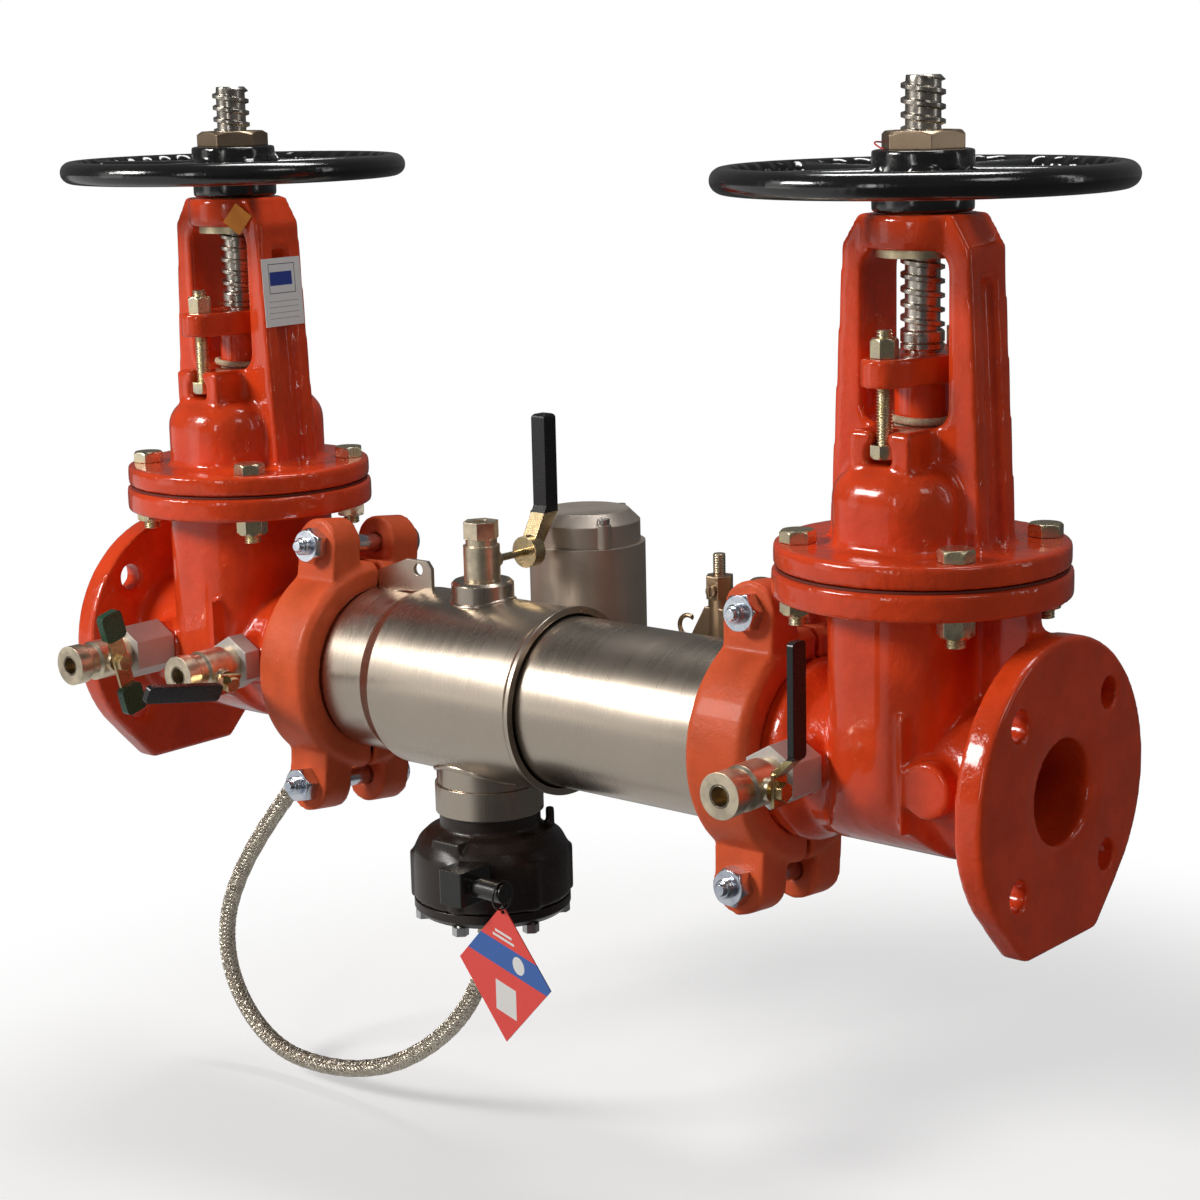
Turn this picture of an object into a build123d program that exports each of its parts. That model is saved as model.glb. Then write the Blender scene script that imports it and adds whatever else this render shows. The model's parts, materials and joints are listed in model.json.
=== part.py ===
from build123d import *
import math
import os

# Reduced pressure backflow preventer for a 2 1/2 inch main.
# X runs along the flow from the inlet flange face, Y to the bypass side and Z up along the valve stems.

# Layout along the pipe
overall_length = 781.0
stem_inset = 98.4
valve_end_inset = 198.4
pipe_end_gap = 3.2
housing_length = 204.4
relief_inset = 127.0

# Clearances
sliding_gap = 0.3
running_gap = 0.06
seat_gap = 0.1

# Flanges that bolt to the main
flange_radius = 91.0
flange_thickness = 19.0
foot_half_width = 41.0
foot_depth = 92.0
foot_corner_radius = 4.0
bolt_circle = 139.7
flange_hole_radius = 9.5
spot_face_radius = 16.0
spot_face_depth = 1.0
bore_radius = 31.0
face_ring_radius = 41.0
face_ring_depth = 0.8

# Grooved pipe ends and couplings
pipe_radius = 57.15
groove_depth = 2.1
groove_width = 9.5
groove_inset = 15.9
coupling_width = 47.0
coupling_radius = 74.0
coupling_edge = 5.0
key_gap = 0.35
key_width = 5.4
gasket_radius = 66.0
gasket_width = 30.0
ear_half_width = 19.0
ear_back = 16.0
ear_depth = 42.0
ear_gap = 4.0
ear_foot = 40.0
ear_bolt_height = 85.0
inlet_coupling_roll = -6.5
outlet_coupling_roll = -4.6
coupling_bolt_radius = 6.3
coupling_bolt_hex = 22.0
coupling_bolt_head = 9.0
coupling_nut_height = 11.0
coupling_bolt_tip = 8.0
coupling_bolt_point = 3.0

# Valve body
body_pipe_radius = 49.0
neck_length = 34.0
neck_taper = 12.0
chamber_half_width = 42.0
chamber_half_depth = 60.0
chamber_corner = 34.0
cavity_half_width = 19.0
cavity_half_depth = 43.0
cavity_corner = 8.0
valve_seat_width = 7.0
wedge_half_thickness = 15.0
wedge_radius = 38.0
wedge_rib = 2.6
joint_height = 122.2
body_flange_thickness = 16.5
web_half_thickness = 7.0
ridge_offset = 25.0
ridge_half_width = 10.0
ridge_reach = 6.0
ridge_foot = -25.0
ridge_top = 46.0
boss_radius = 17.0
boss_height = 4.5
flange_boss_offset = 41.0
flange_boss_reach = 60.0
neck_boss_offset = 48.5
neck_boss_reach = 58.0
port_radius = 8.0
port_depth = 16.0

# Bonnet and yoke
gasket_thickness = 1.5
bonnet_step = 1.2
bonnet_flange_thickness = 14.5
bonnet_bolt_x = 54.5
bonnet_bolt_y = 48.5
bonnet_bolt_edge = 15.54454
bonnet_bolt_radius = 6.0
bonnet_bolt_hex = 19.0
bonnet_head_height = 7.5
bonnet_nut_height = 10.5
bonnet_stud_tip = 6.0
dome_half_width = 40.0
dome_half_depth = 58.0
dome_corner = 34.0
dome_height = 186.0
dome_round = 20.0
dome_wall = 9.0
yoke_inner = 29.5
yoke_outer_top = 44.0
yoke_outer_foot = 53.0
yoke_half_depth = 20.0
yoke_shoulder_rise = 1.0
yoke_shoulder_inset = 12.0
yoke_channel_width = 15.0
yoke_channel_depth = 5.0
yoke_channel_end = 15.0
collar_radius = 34.0
collar_thickness = 20.0
window_top = 308.0
window_corner = 12.0
stuffing_radius = 24.0
stuffing_top = 207.0
packing_radius = 16.5
packing_floor = 186.0
lug_half_width = 21.0
lug_reach = 46.0
lug_floor = 184.0
lug_slot_half = 5.5
lug_pocket_half = 9.0
lug_pocket_floor = 187.0
lug_pocket_top = 199.0

# Gland
gland_bolt_offset = 39.0
gland_bolt_radius = 4.8
gland_bolt_hex = 14.5
gland_head_height = 8.0
gland_nut_height = 11.5
gland_bolt_tip = 4.5
gland_top = 248.3
gland_thickness = 16.5
gland_ear_radius = 13.5
gland_waist_radius = 24.0
gland_nose = 15.0

# Stem, sleeve and handwheel
stem_radius = 9.65
thread_radius = 12.85
thread_foot = 249.6
stem_rise = 77.2
stem_tip_chamfer = 3.0
stem_foot_radius = 12.5
stem_foot_height = 6.0
stem_foot_floor = 40.0
wedge_top = 54.0
sleeve_radius = 19.7
sleeve_flange_radius = 27.0
sleeve_flange_thickness = 4.7
sleeve_hub_radius = 17.0
wheel_hub_radius = 29.5
wheel_hub_height = 35.5
wheel_radius = 122.4
rim_rise = 19.9
rim_half_width = 8.4
rim_half_height = 7.9
spoke_count = 5
spoke_half_width = 9.0
spoke_half_height = 5.5
wheel_nut_hex = 43.5
wheel_nut_height = 10.4

# Stainless body
shell_radius = 62.0
shell_wall = 3.0
step_start = 62.0
step_length = 12.0
rim_bead = 1.6
tube_insert = 30.0
seal_section = 1.7
seal_inset = 12.0
neck_outer_radius = 36.0
neck_inner_radius = 29.5
neck_foot = 66.8
cock_boss_radius = 21.4
cock_boss_top = 74.0
lug_start = 28.0
lug_length = 52.0
lug_plate = 3.0
lug_low_height = 70.0
lug_high_height = 81.0
lug_hole_radius = 4.4
lug_hole_inset = 12.5

# Check valves
check_seat_thickness = 16.0
check_seat_gap = 0.25
check_bore = 30.0
check_inset = 16.0
clapper_radius = 36.0
clapper_thickness = 9.0
check_pin_height = 44.0
check_pin_offset = 9.0
check_pin_radius = 2.4
check_pin_half_length = 17.0
check_lug_gap = 11.0
check_lug_thickness = 5.0
check_arm_half_width = 5.0
spring_coil_radius = 5.6

# Relief valve, heights measured down from the pipe axis
ring_radius = 37.4
ring_wall = 3.2
ring_foot = 86.8
ring_joint = 78.0
relief_neck_radius = 35.0
relief_neck_foot = 98.0
bowl_radius = 54.5
bowl_shoulder = 121.0
bowl_foot = 148.0
bowl_wall = 5.0
relief_seat_radius = 19.0
relief_seat_floor = 92.0
relief_seat_thickness = 5.0
web_height = 112.0
web_thickness = 4.5
plunger_radius = 5.0
plunger_disc_radius = 24.0
plunger_disc_thickness = 6.0
plunger_travel = 7.5
plate_radius = 30.0
plate_thickness = 4.5
diaphragm_thickness = 2.0
diaphragm_inset = 10.0
cover_thickness = 10.0
cover_chamfer = 4.0
cover_cavity_radius = 38.0
cover_cavity_depth = 5.0
cover_screw_inset = 6.5
cover_screw_count = 6
cover_screw_angle = -15.0
cover_screw_radius = 3.0
cover_screw_hex = 10.0
cover_screw_head = 6.0
cover_screw_depth = 14.0
bowl_boss_radius = 8.5
pad_left = -10.0
pad_right = 16.0
pad_front = 49.0
pad_back = 20.0
pad_top = 99.5
pad_foot = 134.0
outlet_half_width = 24.0
outlet_top = 99.0
outlet_floor = 111.5
spring_wire = 1.5
relief_spring_radius = 16.0
relief_spring_turns = 5
stub_radius = 3.2
stub_x = 30.5
stub_y = 28.0
stub_top = 87.5

# Sensor box and hang tag
sensor_x = 19.0
sensor_width = 21.0
sensor_front = 73.0
sensor_depth = 30.0
sensor_top = 109.0
sensor_height = 24.0
sensor_corner = 2.0
plug_radius = 7.0
plug_inset = 14.0
plug_length = 28.0
tag_side = 68.0
tag_thickness = 0.8
tag_turn = -8.7
tag_hole_radius = 2.2
tag_tie_radius = 0.8
tag_tie_ring = 9.5
tag_tie_inset = 4.0
tag_hole_inset = 4.6

# Sensing hose
hose_radius = 6.6
hose_route = (
    (147.0, 0.0, -87.0),
    (119.0, 0.0, -117.0),
    (90.0, 0.0, -150.0),
    (63.0, 0.0, -187.0),
    (45.0, 0.0, -226.0),
    (46.0, 0.0, -266.0),
    (67.0, 0.0, -300.0),
    (101.0, 0.0, -320.0),
    (141.0, 0.0, -322.0),
    (184.0, 0.0, -316.0),
    (226.0, 0.0, -301.0),
    (264.0, 0.0, -277.0),
    (295.0, 0.0, -248.0),
    (315.0, 0.0, -216.0),
    (325.0, 0.0, -184.0),
)
hose_ferrule_radius = 8.2
hose_nut_hex = 19.0
hose_nut_length = 15.0
hose_post_radius = 8.5

# Test cocks
cock_radius = 14.0
cock_waist_radius = 12.4
cock_length = 48.0
cock_stem_inset = 19.0
cock_bore_radius = 6.0
ball_radius = 9.4
cock_stem_radius = 3.0
cock_stem_reach = 22.0
bushing_hex = 34.0
flange_bushing_length = 34.0
neck_bushing_length = 13.0
long_bushing_length = 28.5
nipple_radius = 7.6
nipple_length = 12.0
lever_plate = 2.4
lever_half_width = 6.2
lever_foot = 9.0
lever_bend = 11.0
lever_grip_foot = 21.0
lever_length = 90.0
lever_offset = 13.0
lever_coat = 1.0
tee_tilt = 14.6
lever_tilt = 11.0
lever_roll = -20.0
tee_half_length = 39.0
tee_half_width = 9.0
handle_nut_radius = 5.2
handle_nut_height = 4.5
top_cock_radius = 12.5
top_cock_length = 24.0
top_cock_stem_boss = 5.5
top_cock_stem_radius = 2.5
top_cock_collar = 4.7
top_cock_hex_height = 11.7
top_cock_hex_radius = 10.8
top_cock_stem_rise = 12.0
top_cock_ball = 7.6
top_lever_offset = 45.0
top_grip_offset = 66.5
top_grip_half = 6.0
top_grip_rise = 26.0
top_grip_length = 68.0
top_base_radius = 11.0
top_base_inset = 2.0
top_base_thickness = 10.0
top_neck_rise = 4.0

# Bypass line behind the body
bypass_y = 110.0
bypass_radius = 10.6
bypass_bend = 26.0
bypass_bore = 7.5
union_hex = 32.0
union_length = 16.0
canister_radius = 41.4
canister_foot = -46.0
canister_shoulder = 84.0
canister_cap_radius = 38.0
canister_cap_top = 107.0
canister_cap_bevel = 8.0
cap_lug_radius = 5.0
cap_lug_circle = 36.5
cap_screw_count = 3
cap_screw_angle = -30.5
cap_screw_radius = 2.4
cap_screw_head = 4.2
cap_screw_head_height = 4.0
cap_lug_top = 101.0
canister_port_reach = 8.0
canister_port_inset = 4.0
bypass_link_length = 46.0
bypass_check_length = 82.0
bypass_check_radius = 17.0
bypass_cock_inset = 23.0
bypass_cock_radius = 8.0
bypass_cock_hex = 17.2
bypass_cock_foot = 60.0
bypass_branch_reach = 22.0
bypass_branch_top = 50.0
bypass_branch_half = 7.0
bypass_hook_radius = 7.5
bypass_hook_wire = 1.6
bypass_hook_height = 33.0
bypass_cock_head = 72.0
bypass_stub_radius = 4.0
bypass_stub_top = 87.0
bypass_dome_inset = 58.0
bypass_dome_radius = 9.0
bypass_dome_top = 74.0
slot_stem_radius = 3.9
slot_stem_reach = 11.0

# Places worked out from the sizes above
inlet_stem_x = stem_inset
outlet_stem_x = overall_length - stem_inset
inlet_coupling_x = valve_end_inset + pipe_end_gap / 2
outlet_coupling_x = overall_length - inlet_coupling_x
housing_start = inlet_coupling_x + pipe_end_gap / 2
housing_end = housing_start + housing_length
tube_start = housing_end - tube_insert
tube_end = outlet_coupling_x - pipe_end_gap / 2
relief_x = housing_start + relief_inset
top_cock_shoulder = cock_boss_top + top_cock_length
top_cock_hex_floor = top_cock_shoulder + top_cock_collar
top_cock_top = top_cock_hex_floor + top_cock_hex_height
top_cock_stem_height = cock_boss_top + top_cock_stem_rise
top_grip_foot = top_cock_stem_height + top_grip_rise
top_grip_top = top_grip_foot + top_grip_length
bypass_check_start = relief_x + canister_radius + canister_port_reach + bypass_link_length
bypass_cock_x = bypass_check_start + bypass_cock_inset
bypass_dome_x = bypass_check_start + bypass_dome_inset
groove_radius = pipe_radius - groove_depth
bolt_offset = bolt_circle / 2 / math.sqrt(2)
cover_screw_circle = bowl_radius - cover_screw_inset
body_flange_radius = math.hypot(bonnet_bolt_x, bonnet_bolt_y) + bonnet_bolt_edge
bonnet_radius = body_flange_radius - bonnet_step
bonnet_floor = joint_height + gasket_thickness
bonnet_top = bonnet_floor + bonnet_flange_thickness
body_flange_floor = joint_height - body_flange_thickness
tube_bore = pipe_radius - shell_wall
shell_bore = shell_radius - shell_wall
collar_top = window_top + collar_thickness
yoke_shoulder_height = window_top + yoke_shoulder_rise
wheel_hub_floor = collar_top + sliding_gap
wheel_hub_top = wheel_hub_floor + wheel_hub_height
rim_height = wheel_hub_floor + rim_rise
stem_tip = collar_top + stem_rise
wheel_nut_floor = wheel_hub_top + seat_gap

VALVES = (("inlet", Location((inlet_stem_x, 0, 0), (0, 0, 180))), ("outlet", Location((outlet_stem_x, 0, 0))))


def ring(outer, inner, low, high):
    """Upright ring between two heights."""
    length = high - low
    shape = Pos(0, 0, low + length / 2) * Cylinder(outer, length)
    return shape - Pos(0, 0, low + length / 2) * Cylinder(inner, length + 2)


def rod(radius, low, high):
    """Upright round bar between two heights."""
    return Pos(0, 0, (low + high) / 2) * Cylinder(radius, high - low)


def hexagon(flats, low, high, turn=0):
    """Upright hexagonal bar, measured across its flats."""
    outline = Rot(0, 0, turn) * RegularPolygon(flats / math.sqrt(3), 6)
    return extrude(Plane.XY.offset(low) * outline, high - low)


def block(x0, x1, y0, y1, z0, z1):
    """Box between two corners."""
    return Pos((x0 + x1) / 2, (y0 + y1) / 2, (z0 + z1) / 2) * Box(x1 - x0, y1 - y0, z1 - z0)


def turned(points):
    """Solid turned about Z from a half outline of (radius, height) points."""
    return revolve(Plane.XZ * make_face(Polyline(*points, close=True).edges()), Axis.Z)


def turned_along_x(points):
    """Solid turned about X from a half outline of (x, radius) points."""
    return revolve(Plane.XZ * make_face(Polyline(*points, close=True).edges()), Axis.X)


def along_x(shape, x):
    """Lay an upright shape along +X, its foot at x."""
    return Pos(x, 0, 0) * Rot(0, 90, 0) * shape


def prism_xz(points, half_depth):
    """Flat outline in the XZ plane, as deep along Y as twice the half depth."""
    face = make_face(Polyline(*points, close=True).edges())
    return extrude(Plane.XZ * face, half_depth, both=True)


def prism_yz(points, x0, x1):
    """Flat outline in the YZ plane, carried from one X to the other."""
    face = make_face(Polyline(*points, close=True).edges())
    return extrude(Plane.YZ.offset(x0) * face, x1 - x0)


# Gate valve


def flange_plate():
    """Round flange with a flat foot, its face towards +X."""
    corner_y = foot_half_width - foot_corner_radius
    corner_z = foot_depth - foot_corner_radius
    outline = Circle(flange_radius)
    outline += Pos(-corner_y, -corner_z) * Circle(foot_corner_radius)
    outline += Pos(corner_y, -corner_z) * Circle(foot_corner_radius)
    face = make_hull(outline.edges())
    plate = extrude(Plane.YZ.offset(stem_inset - flange_thickness) * face, flange_thickness)
    return chamfer(plate.edges().group_by(Axis.X)[-1], 1.2)


def flange_cuts():
    """Bolt holes, their spot faces and the shallow ring round the bore."""
    back = stem_inset - flange_thickness
    cuts = along_x(rod(face_ring_radius, -face_ring_depth, 1), stem_inset)
    for y in (-bolt_offset, bolt_offset):
        for z in (-bolt_offset, bolt_offset):
            hole = along_x(rod(flange_hole_radius, -1, flange_thickness + 1), back)
            spot = along_x(rod(spot_face_radius, -spot_face_radius, spot_face_depth), back)
            cuts += Pos(0, y, z) * (hole + spot)
    return cuts


def grooved_end(grow=0):
    """Outside of the grooved neck, from the pipe end to the pipe of the body."""
    end = stem_inset - valve_end_inset
    groove = end + groove_inset
    shoulder = end + neck_length
    return turned_along_x([
        (end, 0), (end, pipe_radius + grow), (groove, pipe_radius + grow), (groove, groove_radius + grow),
        (groove + groove_width, groove_radius + grow), (groove + groove_width, pipe_radius + grow),
        (shoulder, pipe_radius + grow), (shoulder + neck_taper, body_pipe_radius + grow),
        (shoulder + neck_taper, 0),
    ])


def chamber():
    """Oval gate chamber, rounded underneath."""
    column = extrude(
        Plane.XY.offset(-body_pipe_radius)
        * RectangleRounded(2 * chamber_half_width, 2 * chamber_half_depth, chamber_corner),
        body_pipe_radius + body_flange_floor + 1,
    )
    bowl = Plane.YZ.offset(-chamber_half_width) * Ellipse(chamber_half_depth, body_pipe_radius)
    under = extrude(bowl, 2 * chamber_half_width)
    above = block(
        -chamber_half_width, chamber_half_width, -chamber_half_depth, chamber_half_depth,
        0, body_flange_floor + 1,
    )
    return column & (under + above)


def ridges():
    """Pointed ribs on the two broad sides of the chamber, low on opposite corners."""
    tip = (0, chamber_half_depth + ridge_reach)
    outline = Polyline((-ridge_half_width, 0), tip, (ridge_half_width, 0), close=True)
    rib = extrude(Plane.XY.offset(ridge_foot) * make_face(outline.edges()), ridge_top - ridge_foot)
    return Pos(-ridge_offset, 0, 0) * rib + Pos(ridge_offset, 0, 0) * Rot(0, 0, 180) * rib


def bosses():
    """Cock bosses, two on each broad side."""
    shapes = []
    for side in (0, 180):
        turn = Rot(0, 0, side)
        for x, reach in ((flange_boss_offset, flange_boss_reach), (-neck_boss_offset, neck_boss_reach)):
            sign = -1 if side else 1
            upright = rod(boss_radius, 0, reach)
            shapes.append(turn * Pos(sign * x, 0, boss_height) * Rot(-90, 0, 0) * upright)
    return shapes


def webs():
    """Upright web between the body flange and the back of the pipe flange."""
    back = stem_inset - flange_thickness + 1
    return prism_xz([
        (chamber_half_width - 4, body_pipe_radius - 4),
        (back, body_pipe_radius - 4),
        (back, flange_radius - 1),
        (body_flange_radius - 12, body_flange_floor + 2),
        (chamber_half_width - 4, body_flange_floor + 2),
    ], web_half_thickness)


def valve_body(ports):
    """Cast body of a gate valve, its flange towards +X."""
    end = stem_inset - valve_end_inset
    body = flange_plate() + grooved_end()
    body += along_x(rod(body_pipe_radius, 0, stem_inset - 1), 0)
    body += along_x(rod(body_pipe_radius, 0, chamber_half_width + 16), -chamber_half_width - 16)
    body += chamber() + ridges() + webs()
    body += bosses()
    body += rod(body_flange_radius, body_flange_floor, joint_height)
    cavity = extrude(
        RectangleRounded(2 * cavity_half_width, 2 * cavity_half_depth, cavity_corner), joint_height + 1)
    cavity += along_x(rod(cavity_half_depth, 0, 2 * cavity_half_width), -cavity_half_width)
    seat_face = wedge_half_thickness + sliding_gap
    seats = along_x(rod(bore_radius + valve_seat_width, 0, 2 * cavity_half_width), -cavity_half_width)
    seats -= along_x(rod(bore_radius + valve_seat_width + 1, 0, 2 * seat_face), -seat_face)
    cuts = cavity - seats
    cuts += along_x(rod(bore_radius, 0, overall_length), end - 1)
    for x in (-bonnet_bolt_x, bonnet_bolt_x):
        for y in (-bonnet_bolt_y, bonnet_bolt_y):
            hole = rod(bonnet_bolt_radius + sliding_gap, body_flange_floor - 1, joint_height + 1)
            cuts += Pos(x, y, 0) * hole
    for x, side, reach in ports:
        hole = rod(port_radius, reach - port_depth, reach + 1)
        cuts += Pos(x, 0, boss_height) * Rot(-90 * side, 0, 0) * hole
    return body - cuts - flange_cuts()


def yoke_legs():
    """Two legs that carry the collar, each with a channel down its outer side."""
    foot = bonnet_top - 1
    legs = prism_xz([
        (-yoke_outer_foot, foot), (-yoke_outer_top, yoke_shoulder_height - 9),
        (-yoke_outer_top, yoke_shoulder_height),
        (-yoke_outer_top + yoke_shoulder_inset, collar_top),
        (yoke_outer_top - yoke_shoulder_inset, collar_top),
        (yoke_outer_top, yoke_shoulder_height),
        (yoke_outer_top, yoke_shoulder_height - 9), (yoke_outer_foot, foot),
    ], yoke_half_depth)
    channel_top = yoke_shoulder_height - yoke_channel_end
    for side in (-1, 1):
        legs -= prism_xz([
            (side * (yoke_outer_foot + 1), foot), (side * (yoke_outer_top + 1), channel_top),
            (side * (yoke_outer_top - yoke_channel_depth), channel_top - yoke_channel_depth),
            (side * (yoke_outer_foot - yoke_channel_depth), foot),
        ], yoke_channel_width / 2)
    return legs


def yoke_window():
    """Opening between the legs, right through along Y."""
    height = window_top - stuffing_top
    face = RectangleRounded(2 * yoke_inner, height, window_corner)
    return Pos(0, 0, stuffing_top + height / 2) * extrude(Plane.XZ * face, 2 * collar_radius, both=True)


def gland_lugs():
    """Slotted lugs that hold the heads of the gland bolts."""
    shape = None
    for side in (-1, 1):
        near, far = sorted((side * 10, side * lug_reach))
        lug = block(-lug_half_width, lug_half_width, near, far, lug_floor, stuffing_top)
        near, far = sorted((side * (gland_bolt_offset - lug_slot_half), side * (lug_reach + 1)))
        lug -= block(-lug_slot_half, lug_slot_half, near, far, lug_pocket_floor, stuffing_top + 1)
        near, far = sorted((side * (gland_bolt_offset - lug_pocket_half), side * (lug_reach + 1)))
        lug -= block(-lug_pocket_half, lug_pocket_half, near, far, lug_pocket_floor, lug_pocket_top)
        shape = lug if shape is None else shape + lug
    return shape


def bonnet():
    """Cast bonnet: flange, dome, stuffing box, gland lugs and yoke in one piece."""
    dome = extrude(
        Plane.XY.offset(bonnet_top - 1)
        * RectangleRounded(2 * dome_half_width, 2 * dome_half_depth, dome_corner),
        dome_height - bonnet_top + 1,
    )
    dome = fillet(dome.edges().group_by(Axis.Z)[-1], dome_round)
    top = yoke_legs() + rod(collar_radius, window_top, collar_top)
    top -= yoke_window()
    shape = rod(bonnet_radius, bonnet_floor, bonnet_top) + dome + top
    shape += rod(stuffing_radius, lug_floor - 6, stuffing_top) + gland_lugs()
    hollow = extrude(
        Plane.XY.offset(bonnet_floor - 1)
        * RectangleRounded(2 * cavity_half_width, 2 * cavity_half_depth, cavity_corner),
        dome_height - dome_wall - 12 - bonnet_floor + 1,
    )
    shape -= hollow
    shape -= rod(stem_radius + sliding_gap, bonnet_floor, stuffing_top + 1)
    shape -= rod(packing_radius, packing_floor, stuffing_top + 1)
    shape -= rod(sleeve_radius + running_gap, window_top - 1, collar_top + 1)
    shape -= rod(sleeve_flange_radius + sliding_gap, window_top - 2 * sleeve_flange_thickness, window_top)
    for x in (-bonnet_bolt_x, bonnet_bolt_x):
        for y in (-bonnet_bolt_y, bonnet_bolt_y):
            shape -= Pos(x, y, 0) * rod(bonnet_bolt_radius + sliding_gap, bonnet_floor - 1, bonnet_top + 30)
            shape -= Pos(x, y, 0) * rod(bonnet_bolt_hex / 2 + 3, bonnet_top, bonnet_top + 14)
    return shape


def gland():
    """Two-eared gland follower with its nose in the stuffing box."""
    floor = gland_top - gland_thickness
    outline = Circle(gland_waist_radius)
    for y in (-gland_bolt_offset, gland_bolt_offset):
        outline += Pos(0, y) * Circle(gland_ear_radius)
    face = make_hull(outline.edges())
    shape = extrude(Plane.XY.offset(floor) * face, gland_thickness)
    shape = fillet(shape.edges().group_by(Axis.Z)[-1], 1.5)
    shape += rod(packing_radius - sliding_gap, floor - gland_nose - 10, floor)
    shape -= rod(stem_radius + running_gap, floor - gland_nose - 12, gland_top + 1)
    for y in (-gland_bolt_offset, gland_bolt_offset):
        shape -= Pos(0, y, 0) * rod(gland_bolt_radius + sliding_gap, floor - 1, gland_top + 1)
    return shape


def stem():
    """Rising stem: foot in the wedge, plain shank, collar and threaded end."""
    return turned([
        (0, stem_foot_floor), (stem_foot_radius, stem_foot_floor),
        (stem_foot_radius, stem_foot_floor + stem_foot_height),
        (stem_radius, stem_foot_floor + stem_foot_height),
        (stem_radius, thread_foot), (thread_radius, thread_foot),
        (thread_radius, stem_tip - stem_tip_chamfer),
        (thread_radius - stem_tip_chamfer, stem_tip), (0, stem_tip),
    ])


def wedge():
    """Gate wedge with guide ribs and the slot that hangs it on the stem."""
    disc = along_x(rod(wedge_radius, 0, 2 * wedge_half_thickness), -wedge_half_thickness)
    ribs = block(-5, 5, -wedge_radius - wedge_rib, wedge_radius + wedge_rib, -10, 14)
    head = block(-wedge_half_thickness, wedge_half_thickness, -17, 17, 0, wedge_top)
    shape = disc + ribs + head
    foot_floor = stem_foot_floor - seat_gap
    foot_top = stem_foot_floor + stem_foot_height + seat_gap
    half = stem_foot_radius + sliding_gap
    neck = stem_radius + sliding_gap
    side = wedge_radius + wedge_rib
    shape -= block(-half, half, -half, side, foot_floor, foot_top)
    shape -= block(-neck, neck, 0, side, foot_top - 1, wedge_top + 1)
    shape -= rod(stem_radius + sliding_gap, foot_top - 1, wedge_top + 1)
    return shape


def yoke_sleeve():
    """Turning nut in the collar: flange under it, round hub for the wheel above it."""
    floor = window_top - seat_gap - sleeve_flange_thickness
    shape = rod(sleeve_flange_radius, floor, floor + sleeve_flange_thickness)
    shape += rod(sleeve_radius, floor, wheel_hub_floor)
    shape += rod(sleeve_hub_radius, wheel_hub_floor - 1, wheel_hub_top + wheel_nut_height - 1)
    return shape - rod(thread_radius + running_gap, floor - 1, wheel_hub_top + 30)


def handwheel():
    """Round-rimmed wheel with dished spokes and a deep hub."""
    middle = wheel_radius - rim_half_width
    section = Plane.XZ * Pos(middle, 0) * Ellipse(rim_half_width, rim_half_height)
    rim = Pos(0, 0, rim_height) * revolve(section, Axis.Z)
    hub = rod(wheel_hub_radius, wheel_hub_floor, wheel_hub_top)
    spokes = []
    for index in range(spoke_count):
        bar = block(
            wheel_hub_radius - 6, middle, -spoke_half_width, spoke_half_width,
            rim_height - spoke_half_height, rim_height + spoke_half_height,
        )
        bar = chamfer(bar.edges().filter_by(Axis.X), 3)
        spokes.append(Rot(0, 0, 90 + index * 360 / spoke_count) * bar)
    shape = rim + hub + spokes
    return shape - rod(sleeve_hub_radius + running_gap, wheel_hub_floor - 1, wheel_hub_top + 1)


def wheel_nut():
    """Hexagonal nut that holds the wheel on the sleeve."""
    shape = hexagon(wheel_nut_hex, wheel_nut_floor, wheel_nut_floor + wheel_nut_height)
    shape &= turned([
        (0, wheel_nut_floor), (wheel_nut_hex / 2 + 4, wheel_nut_floor),
        (wheel_nut_hex / 2 + 4, wheel_nut_floor + wheel_nut_height - 3),
        (wheel_nut_hex / 2, wheel_nut_floor + wheel_nut_height),
        (0, wheel_nut_floor + wheel_nut_height),
    ])
    return shape - rod(sleeve_hub_radius + running_gap, wheel_nut_floor - 1, wheel_nut_floor + 30)


def bonnet_gasket():
    """Flat gasket between body and bonnet."""
    shape = ring(body_flange_radius - 2.5, 1, joint_height + 0.02, bonnet_floor - 0.02)
    shape -= extrude(
        Plane.XY.offset(joint_height - 1)
        * RectangleRounded(2 * cavity_half_width, 2 * cavity_half_depth, cavity_corner), 5)
    for x in (-bonnet_bolt_x, bonnet_bolt_x):
        for y in (-bonnet_bolt_y, bonnet_bolt_y):
            shape -= Pos(x, y, 0) * rod(bonnet_bolt_radius + sliding_gap, joint_height - 1, bonnet_floor + 1)
    return shape


def bonnet_bolt():
    """One bonnet bolt, head up, with its nut as a second solid."""
    nut_floor = body_flange_floor - seat_gap - bonnet_nut_height
    head_floor = bonnet_top + seat_gap
    bolt = hexagon(bonnet_bolt_hex, head_floor, head_floor + bonnet_head_height)
    bolt += rod(bonnet_bolt_radius, nut_floor - bonnet_stud_tip, head_floor + 1)
    nut = hexagon(bonnet_bolt_hex, nut_floor, nut_floor + bonnet_nut_height)
    nut -= rod(bonnet_bolt_radius + running_gap, nut_floor - 1, nut_floor + 30)
    return [bolt, nut]


def packing():
    """Square packing rope round the stem."""
    nose = gland_top - gland_thickness - gland_nose - 10
    return ring(packing_radius - running_gap, stem_radius + running_gap, packing_floor + 0.02, nose - 0.02)


def gland_bolt():
    """One gland bolt with its head in the lug pocket, and its nut."""
    head_top = lug_pocket_top - seat_gap
    bolt = hexagon(gland_bolt_hex, head_top - gland_head_height, head_top)
    bolt += rod(gland_bolt_radius, head_top - 1, gland_top + gland_nut_height + gland_bolt_tip)
    nut = hexagon(gland_bolt_hex, gland_top + seat_gap, gland_top + gland_nut_height)
    nut -= rod(gland_bolt_radius + running_gap, gland_top - 1, gland_top + 30)
    return [bolt, nut]


# Grooved couplings


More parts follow.
